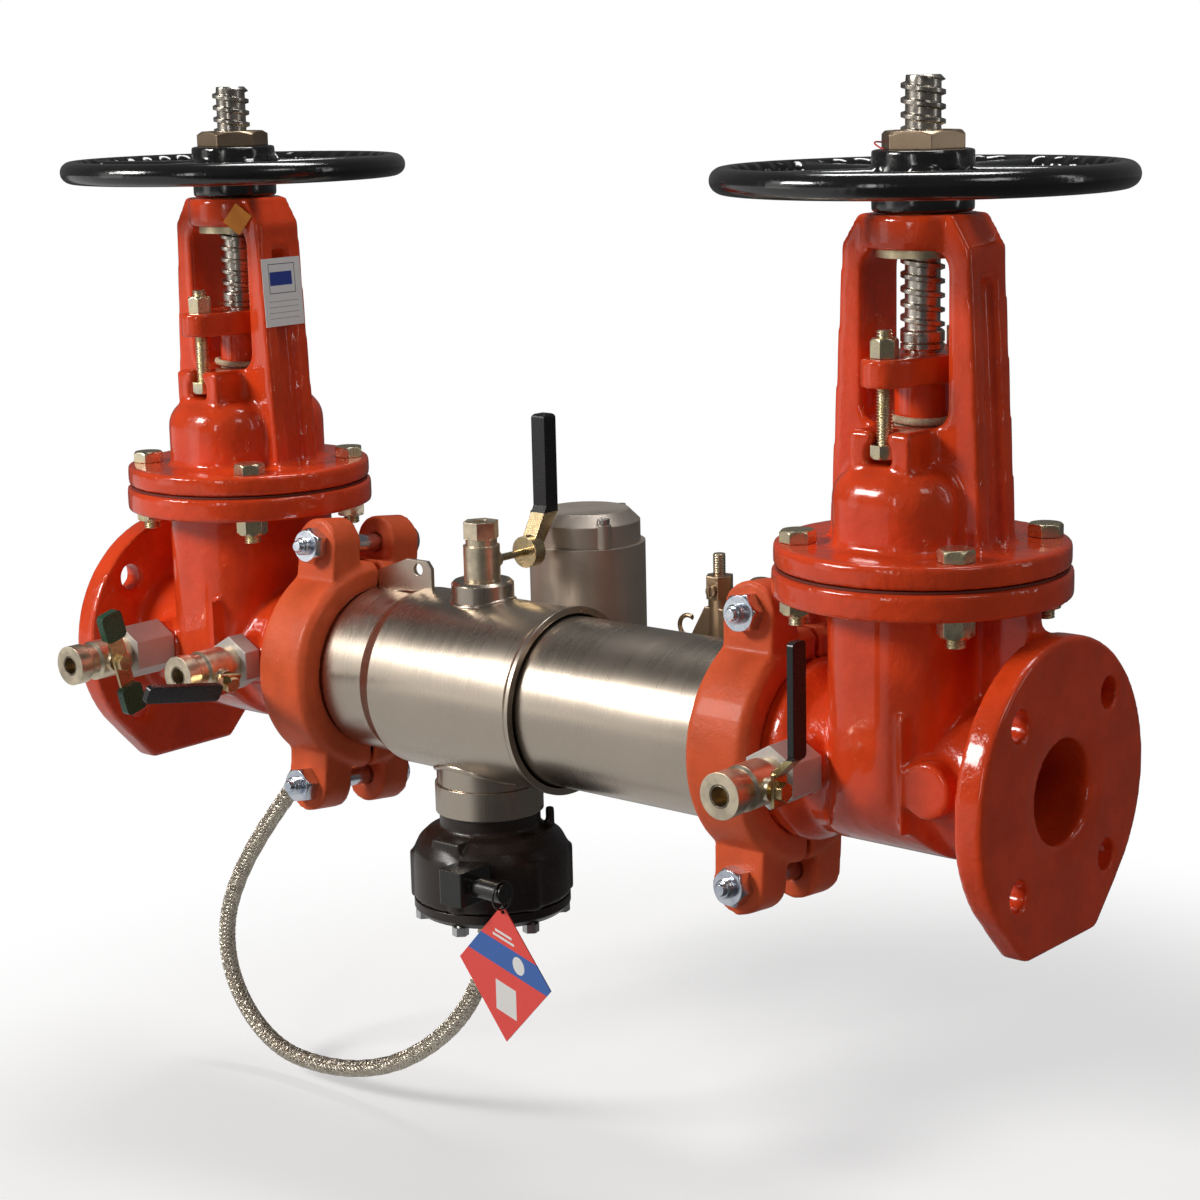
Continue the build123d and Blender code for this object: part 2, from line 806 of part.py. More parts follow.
def coupling_half():
    """Front half of a coupling, centred on X = 0; the rear half is the same piece turned over."""
    band = turned_along_x([
        (-coupling_width / 2, 0), (-coupling_width / 2, coupling_radius - coupling_edge),
        (-coupling_width / 2 + coupling_edge, coupling_radius),
        (coupling_width / 2 - coupling_edge, coupling_radius),
        (coupling_width / 2, coupling_radius - coupling_edge), (coupling_width / 2, 0),
    ])
    ears = None
    for side in (-1, 1):
        lobe = Plane.XZ.offset(ear_back) * Pos(0, side * ear_bolt_height) * Circle(ear_half_width)
        ear = extrude(lobe, ear_depth - ear_back)
        inner, outer = sorted((side * ear_foot, side * ear_bolt_height))
        ear += block(-ear_half_width, ear_half_width, -ear_depth, -ear_back, inner, outer)
        ears = ear if ears is None else ears + ear
    shape = band + ears
    inside = coupling_width / 2 - key_width
    shape -= along_x(rod(groove_radius + key_gap, 0, coupling_width + 2), -coupling_width / 2 - 1)
    shape -= along_x(rod(gasket_radius, 0, 2 * inside), -inside)
    reach = ear_bolt_height + 2 * ear_half_width
    shape -= block(-coupling_width, coupling_width, -ear_gap / 2, reach, -reach, reach)
    for side in (-1, 1):
        hole = rod(coupling_bolt_radius + sliding_gap, -ear_depth - 20, ear_depth + 20)
        shape -= Pos(0, 0, side * ear_bolt_height) * Rot(90, 0, 0) * hole
    return shape


def coupling_gasket():
    """Rubber sleeve over the two pipe ends."""
    half = gasket_width / 2
    return turned_along_x([
        (-half, pipe_radius + 0.02), (-half, gasket_radius - 0.05), (half, gasket_radius - 0.05),
        (half, pipe_radius + 0.02),
    ])


def coupling_bolt(side):
    """One coupling bolt across the ears, nut to the front, and its nut."""
    face = ear_depth + seat_gap
    tip = face + coupling_nut_height + coupling_bolt_tip
    bolt = turned([
        (0, -face), (coupling_bolt_radius, -face), (coupling_bolt_radius, tip - coupling_bolt_point),
        (coupling_bolt_radius / 2, tip), (0, tip),
    ])
    bolt += hexagon(coupling_bolt_hex, -face - coupling_bolt_head, -face)
    nut = hexagon(coupling_bolt_hex, face, face + coupling_nut_height)
    nut -= rod(coupling_bolt_radius + running_gap, face - 1, face + 30)
    return [Pos(0, 0, side * ear_bolt_height) * Rot(90, 0, 0) * piece for piece in (bolt, nut)]


# Stainless body


def main_housing():
    """Shell with grooved inlet end, cock boss, relief neck and lug."""
    start = housing_start
    groove = start + groove_inset
    step = start + step_start
    shape = turned_along_x([
        (start, tube_bore), (start, pipe_radius), (groove, pipe_radius), (groove, groove_radius),
        (groove + groove_width, groove_radius), (groove + groove_width, pipe_radius),
        (step, pipe_radius),
        (step + step_length, shell_radius), (housing_end - 6, shell_radius),
        (housing_end - 3, shell_radius + rim_bead), (housing_end, shell_radius + rim_bead),
        (housing_end, shell_bore), (step + step_length, shell_bore), (step, tube_bore),
    ])
    boss = Pos(relief_x, 0, 0) * rod(cock_boss_radius, shell_bore / 2, cock_boss_top)
    boss = chamfer(boss.edges().group_by(Axis.Z)[-1], 2)
    neck = Pos(relief_x, 0, 0) * rod(neck_outer_radius, -neck_foot, 0)
    inner_neck = ring_radius - ring_wall - sliding_gap
    neck += Pos(relief_x, 0, 0) * rod(inner_neck, -ring_joint + seat_gap, -neck_foot + 1)
    inside = along_x(rod(shell_bore, 0, housing_length), start)
    shape += (boss + neck) - inside
    shape -= Pos(relief_x, 0, 0) * rod(neck_inner_radius, -ring_joint - 1, 0)
    shape -= Pos(relief_x, 0, 0) * rod(port_radius, 0, cock_boss_top + 1)
    return shape + lifting_lug()


def lifting_lug():
    """Flat lug welded on top of the shell near the inlet."""
    start = housing_start + lug_start
    plate = prism_xz([
        (start, pipe_radius - 1.5), (start, lug_low_height), (start + lug_length * 0.55, lug_high_height),
        (start + lug_length - 4, lug_high_height), (start + lug_length, lug_high_height - 5),
        (start + lug_length, shell_radius - 1.5),
    ], lug_plate / 2)
    hole = Pos(start + lug_length - lug_hole_inset, 0, lug_high_height - 6.5) * Rot(90, 0, 0)
    return plate - hole * rod(lug_hole_radius, -lug_plate, lug_plate)


def outlet_tube():
    """Tube inside the shell, with the grooved outlet end."""
    groove = tube_end - groove_inset - groove_width
    return turned_along_x([
        (tube_start, tube_bore), (tube_start, pipe_radius), (groove, pipe_radius), (groove, groove_radius),
        (groove + groove_width, groove_radius), (groove + groove_width, pipe_radius), (tube_end, pipe_radius),
        (tube_end, tube_bore),
    ])


def sleeve_seal():
    """Square-cut ring between shell and outlet tube."""
    middle = housing_end - seal_inset
    return turned_along_x([
        (middle - seal_section, pipe_radius + 0.02), (middle - seal_section, shell_bore - 0.02),
        (middle + seal_section, shell_bore - 0.02), (middle + seal_section, pipe_radius + 0.02),
    ])


def check_seat(x):
    """Seat ring with the two hinge lugs of its clapper."""
    outer = tube_bore - check_seat_gap
    shape = turned_along_x([
        (x, check_bore), (x, outer), (x + check_seat_thickness, outer),
        (x + check_seat_thickness, check_bore),
    ])
    face = x + check_seat_thickness
    for side in (-1, 1):
        low, high = sorted((side * check_lug_gap, side * (check_lug_gap + check_lug_thickness)))
        shape += block(
            face - 1, face + check_pin_offset + 4.5, low, high, check_pin_height - 5, check_pin_height + 4)
    hole = Rot(90, 0, 0) * rod(check_pin_radius + 0.02, -30, 30)
    return shape - Pos(face + check_pin_offset, 0, check_pin_height) * hole


def clapper(x):
    """Swinging disc with its arm and hinge eye."""
    face = x + check_seat_thickness
    disc = along_x(rod(clapper_radius, 0.3, clapper_thickness), face)
    disc -= block(face, face + 20, -20, 20, check_pin_height - 12, check_pin_height + 10)
    half = check_arm_half_width
    arm = block(face + 2, face + clapper_thickness, -half, half, 20, check_pin_height)
    pin = Pos(face + check_pin_offset, 0, check_pin_height) * Rot(90, 0, 0)
    eye = pin * rod(4.6, -half, half)
    arm = arm + eye
    return disc + arm - pin * rod(check_pin_radius + running_gap, -30, 30)


def check_pin(x):
    """Hinge pin of a clapper."""
    face = x + check_seat_thickness
    half = check_lug_gap + check_lug_thickness
    place = Pos(face + check_pin_offset, 0, check_pin_height) * Rot(90, 0, 0)
    return place * rod(check_pin_radius, -half, half)


def check_spring(x):
    """Two close-wound coils beside the arm."""
    face = x + check_seat_thickness
    coils = []
    for side in (-1, 1):
        low, high = sorted((side * (check_arm_half_width + 0.5), side * (check_lug_gap - 0.3)))
        coil = ring(spring_coil_radius - 1.4, check_pin_radius + 0.2, low, high)
        coils.append(Pos(face + check_pin_offset, 0, check_pin_height) * Rot(90, 0, 0) * coil)
    return coils


# Relief valve


def union_ring():
    """Ring that clamps the relief valve to the neck."""
    return ring(ring_radius, ring_radius - ring_wall, -ring_foot + seat_gap, -neck_foot - seat_gap)


def relief_housing():
    """Bowl-shaped housing: neck, seat, outlet at the back, guide web and cover bosses."""
    neck_in = ring_radius - ring_wall - sliding_gap
    outer = turned([
        (0, -ring_joint), (neck_in, -ring_joint), (neck_in, -ring_foot), (relief_neck_radius, -ring_foot),
        (relief_neck_radius, -relief_neck_foot), (bowl_radius - 11, -relief_neck_foot - 2.5),
        (bowl_radius - 4.5, -relief_neck_foot - 8.5), (bowl_radius - 1, -relief_neck_foot - 15.5),
        (bowl_radius, -bowl_shoulder), (bowl_radius, -bowl_foot), (0, -bowl_foot),
    ])
    outer += block(pad_left, pad_right, -pad_front, -pad_back, -pad_foot, -pad_top)
    for index in range(cover_screw_count):
        angle = cover_screw_angle + index * 360 / cover_screw_count
        boss = Pos(cover_screw_circle, 0, 0) * rod(bowl_boss_radius, -bowl_foot, -bowl_shoulder + 6)
        outer += Rot(0, 0, angle) * boss
    inner_radius = bowl_radius - bowl_wall
    seat_top = relief_seat_floor - relief_seat_thickness
    upper = turned([
        (0, -ring_joint + 1), (neck_inner_radius, -ring_joint + 1), (neck_inner_radius, -seat_top),
        (relief_seat_radius, -seat_top), (relief_seat_radius, -relief_seat_floor),
        (neck_inner_radius, -relief_seat_floor), (neck_inner_radius, -relief_neck_foot),
        (inner_radius - 10, -relief_neck_foot - 9), (inner_radius - 10, -web_height), (0, -web_height),
    ])
    lower = rod(inner_radius - 10, -bowl_foot - 1, -web_height - web_thickness)
    guide = rod(plunger_radius + running_gap, -bowl_foot, -ring_joint)
    window = block(-outlet_half_width, outlet_half_width, 10, bowl_radius + 12, -outlet_floor, -outlet_top)
    stub = Pos(stub_x, stub_y, 0) * rod(stub_radius, -bowl_shoulder, -stub_top)
    shape = outer + stub - upper - lower - guide - window
    for index in range(cover_screw_count):
        angle = cover_screw_angle + index * 360 / cover_screw_count
        hole = Pos(cover_screw_circle, 0, 0) * rod(
            cover_screw_radius + running_gap, -bowl_foot - 1, -bowl_foot + cover_screw_depth + 1)
        shape -= Rot(0, 0, angle) * hole
    return Pos(relief_x, 0, 0) * shape


def relief_plunger():
    """Disc, rod and pressure plate that the diaphragm pushes up."""
    disc_top = -relief_seat_floor - seat_gap - plunger_travel - 0.2
    plate_foot = -bowl_foot + diaphragm_thickness + sliding_gap
    shape = rod(plunger_disc_radius, disc_top - plunger_disc_thickness, disc_top)
    shape += rod(plunger_radius, plate_foot, disc_top)
    shape += rod(plate_radius, plate_foot, plate_foot + plate_thickness)
    return Pos(relief_x, 0, 0) * shape


def relief_spring():
    """Coil spring between the guide web and the pressure plate."""
    top = -web_height - web_thickness - 0.3
    foot = -bowl_foot + diaphragm_thickness + plate_thickness + 2 * sliding_gap
    height = top - foot
    pitch = (height - 2 * spring_wire) / (relief_spring_turns - 1)
    coils = []
    for index in range(relief_spring_turns):
        z = foot + spring_wire + index * pitch
        coils.append(Pos(relief_x, 0, z) * Torus(relief_spring_radius, spring_wire))
    links = []
    for index in range(relief_spring_turns - 1):
        z = foot + spring_wire + index * pitch
        angle = 180 * index
        place = Pos(relief_x, 0, z) * Rot(0, 0, angle) * Pos(relief_spring_radius, 0, 0)
        links.append(place * rod(spring_wire * 0.8, 0, pitch))
    shape = coils[0]
    for piece in coils[1:] + links:
        shape += piece
    return shape


def relief_diaphragm():
    """Rubber diaphragm clamped between housing and cover."""
    shape = rod(bowl_radius - bowl_wall - diaphragm_inset - sliding_gap, -bowl_foot, -bowl_foot + diaphragm_thickness)
    return Pos(relief_x, 0, 0) * shape


def relief_cover():
    """Bottom cover with the pressure chamber and the hose port."""
    top = -bowl_foot - 0.05
    foot = -bowl_foot - cover_thickness
    shape = turned([
        (0, top), (bowl_radius, top), (bowl_radius, foot + cover_chamfer),
        (bowl_radius - cover_chamfer, foot), (0, foot),
    ])
    shape -= rod(cover_cavity_radius, top - cover_cavity_depth, top + 1)
    shape -= rod(port_radius - 2, foot - 1, top + 1)
    for index in range(cover_screw_count):
        angle = cover_screw_angle + index * 360 / cover_screw_count
        hole = Pos(cover_screw_circle, 0, 0) * rod(cover_screw_radius + sliding_gap, foot - 1, top + 1)
        shape -= Rot(0, 0, angle) * hole
    return Pos(relief_x, 0, 0) * shape


def cover_screws():
    """Screws of the relief cover and of the canister cap."""
    foot = -bowl_foot - cover_thickness - seat_gap
    screws = []
    for index in range(cover_screw_count):
        angle = cover_screw_angle + index * 360 / cover_screw_count
        screw = hexagon(cover_screw_hex, foot - cover_screw_head, foot)
        screw += rod(cover_screw_radius, foot - 1, -bowl_foot + cover_screw_depth)
        screws.append(Pos(relief_x, 0, 0) * Rot(0, 0, angle) * Pos(cover_screw_circle, 0, 0) * screw)
    for angle in cap_angles():
        top = cap_lug_top + seat_gap
        screw = rod(cap_screw_head, top, top + cap_screw_head_height)
        screw += rod(cap_screw_radius, canister_shoulder - 8, top + 1)
        screws.append(canister_place() * Rot(0, 0, angle) * Pos(cap_lug_circle, 0, 0) * screw)
    return screws


def sensor_box():
    """Plastic sensor on the front of the bowl, with a plug socket on its side."""
    x0 = relief_x + sensor_x
    body = block(
        x0, x0 + sensor_width, -sensor_front, -sensor_front + sensor_depth,
        -sensor_top - sensor_height, -sensor_top,
    )
    body = fillet(body.edges().filter_by(Axis.Z), sensor_corner)
    socket = Pos(0, -sensor_front + plug_inset, -sensor_top - sensor_height / 2) * along_x(
        rod(plug_radius, 0, plug_length), x0 + sensor_width - 1)
    shape = body + socket
    bowl = Pos(relief_x, 0, 0) * rod(bowl_radius + seat_gap, -bowl_foot - 20, -bowl_shoulder + 30)
    for index in range(cover_screw_count):
        angle = cover_screw_angle + index * 360 / cover_screw_count
        boss = rod(bowl_boss_radius + seat_gap, -bowl_foot - 20, -bowl_shoulder + 30)
        bowl += Pos(relief_x, 0, 0) * Rot(0, 0, angle) * Pos(cover_screw_circle, 0, 0) * boss
    return shape - bowl


def hang_tag():
    """Square card hung by one corner, and the loose tie that holds it to the plug."""
    plug_end = relief_x + sensor_x + sensor_width + plug_length
    plug_z = -sensor_top - sensor_height / 2
    tie_z = plug_z + plug_radius + tag_tie_radius + seat_gap - tag_tie_ring
    tie = Rot(0, 90, 0) * Torus(tag_tie_ring, tag_tie_radius)
    tie = Pos(plug_end - tag_tie_inset, -sensor_front + plug_inset, tie_z) * tie
    hole_z = tie_z - tag_tie_ring + tag_tie_radius + seat_gap - tag_hole_radius
    drop = tag_side / math.sqrt(2) - tag_hole_inset
    card = Rot(0, 45, 0) * Box(tag_side, tag_thickness, tag_side)
    card -= Pos(0, 0, drop) * Rot(90, 0, 0) * rod(tag_hole_radius, -2, 2)
    card = Rot(0, 0, tag_turn) * card
    card = Pos(plug_end - tag_tie_inset, -sensor_front + plug_inset, hole_z - drop) * card
    return [card, tie]


# Hose


def corner_radii(points):
    """Largest arc radius at each corner: 0.45 of the shorter run over the tangent of half the turn."""
    radii = []
    for before, corner, after in zip(points, points[1:], points[2:]):
        first = Vector(*corner) - Vector(*before)
        second = Vector(*after) - Vector(*corner)
        turn = math.radians(first.get_angle(second))
        shorter = min(first.length, second.length)
        radii.append(0.45 * shorter / math.tan(turn / 2))
    return radii


def sensing_hose():
    """Braided hose from the inlet valve to the relief cover."""
    radii = corner_radii(hose_route)
    path = FilletPolyline(*hose_route, radius=radii)
    start = Vector(*hose_route[1]) - Vector(*hose_route[0])
    section = Plane(origin=hose_route[0], z_dir=start) * Circle(hose_radius)
    tube = sweep(section, path)
    print("hose arc radii", [round(value, 1) for value in radii])
    print("hose length", round(path.length, 1), "volume", round(tube.volume))
    print("section times length", round(math.pi * hose_radius**2 * path.length))
    return tube


def hose_fitting(end, before, surface):
    """Swivel fitting: nut along the hose, ball, and post to the surface it screws into."""
    away = (Vector(*end) - Vector(*before)).normalized()
    ball = Vector(*end) + away * hose_nut_length
    place = Plane(origin=end, z_dir=away).location
    nut = rod(hose_ferrule_radius, 0, hose_nut_length)
    nut = place * (nut + hexagon(hose_nut_hex, hose_nut_length * 0.4, hose_nut_length))
    low, high = sorted((ball.Z, surface))
    post = Pos(ball.X, ball.Y, 0) * rod(hose_post_radius, low, high)
    return nut + Pos(*ball) * Sphere(hose_post_radius + 0.5) + post


def hose_fittings():
    """Fitting under the inlet valve's neck and fitting under the relief cover."""
    clear = seat_gap / 2
    under = grooved_end(clear) + along_x(rod(body_pipe_radius + clear, 0, stem_inset), -stem_inset)
    under = VALVES[0][1] * under
    first = hose_fitting(hose_route[0], hose_route[1], -body_pipe_radius + 4) - under
    cover_foot = -bowl_foot - cover_thickness - 0.05
    last = hose_fitting(hose_route[-1], hose_route[-2], cover_foot)
    return [first, last]


# Test cocks


def cock_body():
    """Body of a test cock along +Z from its inlet end."""
    shape = turned([
        (0, 0), (cock_waist_radius, 0), (cock_waist_radius, 8), (cock_radius, 9), (cock_radius, 28),
        (cock_waist_radius, 30), (cock_waist_radius, 36), (cock_radius, 38), (cock_radius, cock_length),
        (0, cock_length),
    ])
    shape += Pos(0, 0, cock_stem_inset) * Rot(0, 90, 0) * rod(7, 0, cock_radius + 3)
    shape -= rod(cock_bore_radius, -1, cock_length + 1)
    shape -= Pos(0, 0, cock_stem_inset) * Sphere(ball_radius + 0.1)
    return shape - Pos(0, 0, cock_stem_inset) * Rot(0, 90, 0) * rod(cock_stem_radius + running_gap, 0, 40)


def ball_and_stem(reach, ball, stem_ball_radius):
    """Drilled ball and its stem along +X."""
    shape = Sphere(ball)
    shape += Rot(0, 90, 0) * rod(stem_ball_radius, 0, reach)
    return shape - rod(cock_bore_radius * 0.8, -ball - 1, ball + 1)


def handle_nut(reach):
    """Nut on the end of the stem."""
    return Rot(0, 90, 0) * hexagon(2 * handle_nut_radius, reach - 1, reach + handle_nut_height)


def lever_handle():
    """Flat lever with a dipped grip, along +Z when in line with the cock."""
    reach = cock_stem_reach
    shape = ball_and_stem(reach, ball_radius, cock_stem_radius)
    plate = block(reach - lever_plate, reach, -lever_half_width, lever_half_width, -lever_foot, lever_bend)
    far = reach + lever_offset
    step = prism_xz([
        (reach - lever_plate, lever_bend - lever_plate), (reach, lever_bend - lever_plate),
        (far, lever_grip_foot), (far, lever_grip_foot + lever_plate),
        (far - lever_plate, lever_grip_foot + lever_plate),
        (reach - lever_plate, lever_bend + lever_plate / 2),
    ], lever_half_width - lever_coat)
    grip = block(
        far - lever_plate - lever_coat, far + lever_coat, -lever_half_width, lever_half_width,
        lever_grip_foot, lever_length,
    )
    grip = fillet(grip.edges().filter_by(Axis.X), lever_half_width / 2)
    return shape + plate + step + grip + handle_nut(reach)


def tee_handle():
    """Strap with a grip at each end, across the cock when it is shut."""
    reach = cock_stem_reach
    shape = ball_and_stem(reach, ball_radius, cock_stem_radius)
    strap = block(reach - lever_plate, reach, -lever_half_width, lever_half_width, -20, 20)
    shape += strap + handle_nut(reach)
    for side in (-1, 1):
        low, high = sorted((side * 18, side * tee_half_length))
        grip = block(reach - lever_plate - 1, reach + 3, -tee_half_width, tee_half_width, low, high)
        shape += fillet(grip.edges().filter_by(Axis.X), 4)
    return shape


def bushing(length):
    """Hexagonal reducing bushing with the nipple that enters the boss."""
    shape = hexagon(bushing_hex, 0.05, length, 30)
    shape += rod(nipple_radius, -nipple_length, 1)
    return shape - rod(cock_bore_radius, -nipple_length - 1, length + 1)


def cock_place(x, side, length, roll):
    """Place of a cock's inlet end: on a boss, pointing away from the body along Y."""
    y = side * (neck_boss_reach if length != flange_bushing_length else flange_boss_reach)
    upright = Pos(x, y + side * length, boss_height)
    return upright * Rot(90, 0, 0) * Rot(0, 0, roll)


COCKS = (
    (1, inlet_stem_x - flange_boss_offset, flange_bushing_length, 0, tee_tilt - 90),
    (2, inlet_stem_x + neck_boss_offset, neck_bushing_length, lever_roll, -lever_tilt),
    (4, outlet_stem_x - neck_boss_offset, long_bushing_length, 0, -90),
)


def top_cock_body():
    """Upright cock on top of the shell."""
    shape = rod(top_cock_radius, cock_boss_top + seat_gap / 2, top_cock_shoulder)
    shape += rod(top_cock_hex_radius, top_cock_shoulder, top_cock_hex_floor)
    shape += hexagon(2 * top_cock_hex_radius, top_cock_hex_floor, top_cock_top)
    shape += rod(nipple_radius, cock_boss_top - nipple_length, cock_boss_top + 1)
    across = Pos(0, 0, top_cock_stem_height) * Rot(-90, 0, 0)
    shape += across * rod(top_cock_stem_boss, 0, top_cock_radius + 3)
    shape -= rod(cock_bore_radius * 0.8, 0, top_cock_top + 1)
    shape -= Pos(0, 0, top_cock_stem_height) * Sphere(top_cock_ball + 0.1)
    shape -= across * rod(top_cock_stem_radius + seat_gap, 0, top_lever_offset)
    return Pos(relief_x, 0, 0) * shape


def top_cock_handle():
    """Ball, stem and cranked lever of the upright cock."""
    shape = Sphere(top_cock_ball) + Rot(-90, 0, 0) * rod(top_cock_stem_radius, 0, top_lever_offset)
    shape -= rod(cock_bore_radius * 0.8, -2 * top_cock_ball, 2 * top_cock_ball)
    near = top_lever_offset - top_base_inset
    far = near + top_base_thickness
    base = Rot(-90, 0, 0) * rod(top_base_radius, near, far)
    rise = top_grip_foot - top_cock_stem_height
    neck = prism_yz([
        (near, 0), (far, 0), (top_grip_offset + top_grip_half, rise),
        (top_grip_offset - top_grip_half, rise + top_neck_rise),
    ], -top_grip_half, top_grip_half)
    grip = block(
        -top_grip_half, top_grip_half, top_grip_offset - top_grip_half, top_grip_offset + top_grip_half,
        rise - 1, top_grip_top - top_cock_stem_height,
    )
    grip = fillet(grip.edges().group_by(Axis.Z)[-1], 3)
    return Pos(relief_x, 0, top_cock_stem_height) * (shape + base + neck + grip)


# Bypass line


def canister_place():
    """Place of the canister's axis behind the relief valve."""
    return Pos(relief_x, bypass_y, 0)


def cap_angles():
    """Turn of each cap screw about the canister."""
    return [cap_screw_angle + index * 360 / cap_screw_count for index in range(cap_screw_count)]


def canister():
    """Round canister with a port on each side."""
    shape = rod(canister_radius, canister_foot, canister_shoulder)
    shape = chamfer(shape.edges().group_by(Axis.Z)[0], 4)
    for turn in (0, 180):
        port = Rot(0, 0, turn) * Pos(0, 0, boss_height) * along_x(
            rod(union_hex / 2 - 1, -canister_port_inset, canister_port_reach), canister_radius)
        shape += port
    shape -= rod(canister_radius - 9, canister_foot + 7, canister_shoulder + 1)
    shape -= Pos(0, 0, boss_height) * along_x(
        rod(bypass_bore, 0, 4 * canister_radius), -2 * canister_radius)
    for angle in cap_angles():
        shape -= Rot(0, 0, angle) * Pos(cap_lug_circle, 0, 0) * rod(
            cap_screw_radius + running_gap, canister_shoulder - 10, canister_shoulder + 1)
    return canister_place() * shape


def canister_cap():
    """Cast cap with a bevelled top and three screw lugs."""
    floor = canister_shoulder + 0.05
    shape = turned([
        (0, floor), (canister_cap_radius, floor),
        (canister_cap_radius, canister_cap_top - canister_cap_bevel),
        (canister_cap_radius - canister_cap_bevel, canister_cap_top), (0, canister_cap_top),
    ])
    for angle in cap_angles():
        shape += Rot(0, 0, angle) * Pos(cap_lug_circle, 0, 0) * rod(cap_lug_radius, floor, cap_lug_top)
    for angle in cap_angles():
        spot = Rot(0, 0, angle) * Pos(cap_lug_circle, 0, 0)
        shape -= spot * rod(cap_screw_radius + running_gap, floor - 1, canister_cap_top + 1)
        shape -= spot * rod(cap_screw_head + 0.4, cap_lug_top, canister_cap_top + 1)
    return canister_place() * shape


def bypass_run(points):
    """Bent pipe through the points, with one radius at its corner."""
    path = FilletPolyline(*points, radius=bypass_bend)
    first = Vector(*points[1]) - Vector(*points[0])
    plane = Plane(origin=points[0], z_dir=first)
    tube = sweep(plane * (Circle(bypass_radius) - Circle(bypass_bore)), path)
    return tube


def bypass_pipes():
    """The two runs of the bypass with their union nuts."""
    inlet_x = inlet_stem_x + neck_boss_offset
    outlet_x = outlet_stem_x - neck_boss_offset
    start_y = neck_boss_reach + seat_gap / 2
    canister_port = canister_radius + canister_port_reach + seat_gap / 2
    check_end = bypass_check_start + bypass_check_length
    runs = [
        bypass_run([(inlet_x, start_y, boss_height), (inlet_x, bypass_y, boss_height),
                    (relief_x - canister_port, bypass_y, boss_height)]),
        bypass_run([(outlet_x, start_y, boss_height), (outlet_x, bypass_y, boss_height),
                    (check_end + seat_gap / 2, bypass_y, boss_height)]),
    ]
    link_start = relief_x + canister_port
    link_end = bypass_check_start - seat_gap / 2
    link = along_x(ring(bypass_radius, bypass_bore, 0, link_end - link_start), link_start)
    link = Pos(0, bypass_y, boss_height) * link
    nuts = []
    before = relief_x - canister_port - union_length
    after = check_end + seat_gap / 2
    for x in (before, link_start, link_end - union_length, after):
        nuts.append(Pos(0, bypass_y, boss_height) * along_x(hexagon(union_hex, 0, union_length), x))
    for x in (inlet_x, outlet_x):
        nuts.append(Pos(x, start_y, boss_height) * Rot(-90, 0, 0) * hexagon(union_hex, 0, union_length, 30))
    shape = runs[0] + nuts[0] + nuts[4]
    middle = link + nuts[1] + nuts[2]
    last = runs[1] + nuts[3] + nuts[5]
    drill_start = relief_x - canister_port - 2 * union_length
    drill_end = check_end + 2 * union_length
    drill = along_x(rod(bypass_bore, 0, drill_end - drill_start), drill_start)
    drill = Pos(0, bypass_y, boss_height) * drill
    side = Pos(inlet_x, 0, boss_height) * Rot(-90, 0, 0) * rod(bypass_bore, 0, bypass_y - bypass_bend)
    other = Pos(outlet_x, 0, boss_height) * Rot(-90, 0, 0) * rod(bypass_bore, 0, bypass_y - bypass_bend)
    return [shape - drill - side, middle - drill, last - drill - other]


def bypass_check():
    """Small bronze check with a test cock and a domed cap on top."""
    x0 = bypass_check_start
    body = along_x(rod(bypass_check_radius, 12, bypass_check_length - 12), x0)
    body += along_x(rod(bypass_radius + 3, 0, bypass_check_length), x0)
    body = Pos(0, bypass_y, boss_height) * body
    cock = Pos(bypass_cock_x, bypass_y, 0)
    body += cock * rod(bypass_cock_radius, boss_height, bypass_cock_head)
    branch = bypass_branch_reach
    body += cock * prism_xz([
        (-branch, boss_height), (-branch, bypass_hook_height - bypass_hook_radius),
        (-bypass_cock_radius, bypass_branch_top), (bypass_cock_radius, bypass_branch_top),
        (branch / 2, boss_height),
    ], bypass_branch_half)
    hook_x = -branch - bypass_hook_radius + bypass_hook_wire
    hook = Pos(hook_x, 0, bypass_hook_height) * Rot(90, 0, 0) * Torus(bypass_hook_radius, bypass_hook_wire)
    open_side = hook_x + bypass_hook_radius / 2
    body += cock * (hook - block(
        open_side, open_side + branch, -branch, branch, bypass_hook_height, bypass_branch_top))
    body += cock * hexagon(bypass_cock_hex, bypass_cock_foot - 4, bypass_cock_head)
    body += cock * rod(bypass_stub_radius, bypass_cock_head - 1, bypass_stub_top)
    dome = Pos(bypass_dome_x, bypass_y, 0)
    cap = rod(bypass_dome_radius, boss_height, bypass_dome_top)
    body += dome * fillet(cap.edges().group_by(Axis.Z)[-1], 6)
    body -= Pos(0, bypass_y, boss_height) * along_x(rod(bypass_bore, -1, bypass_check_length + 1), x0)
    hole = rod(slot_stem_radius + running_gap, 0, 40)
    body -= cock * Pos(0, 0, bypass_cock_foot + 2) * Rot(90, 0, 0) * hole
    return body


def bypass_cock_stem():
    """Slotted stem of the small test cock."""
    stem_part = rod(slot_stem_radius, 0.1, slot_stem_reach)
    stem_part -= block(-0.7, 0.7, -10, 10, slot_stem_reach - 1.6, slot_stem_reach + 1)
    return Pos(bypass_cock_x, bypass_y, bypass_cock_foot + 2) * Rot(90, 0, 0) * stem_part


# Writing


def write(name, shape):
    """Write one sub-part, a list of solids being kept as separate solids."""
    if isinstance(shape, (list, tuple)):
        solids = []
        for piece in shape:
            solids += piece.solids()
        shape = Compound(children=solids)
    else:
        solids = shape.solids()
        shape = Compound(children=solids) if len(solids) > 1 else solids[0]
    export_step(shape, f"parts/{name}.step")


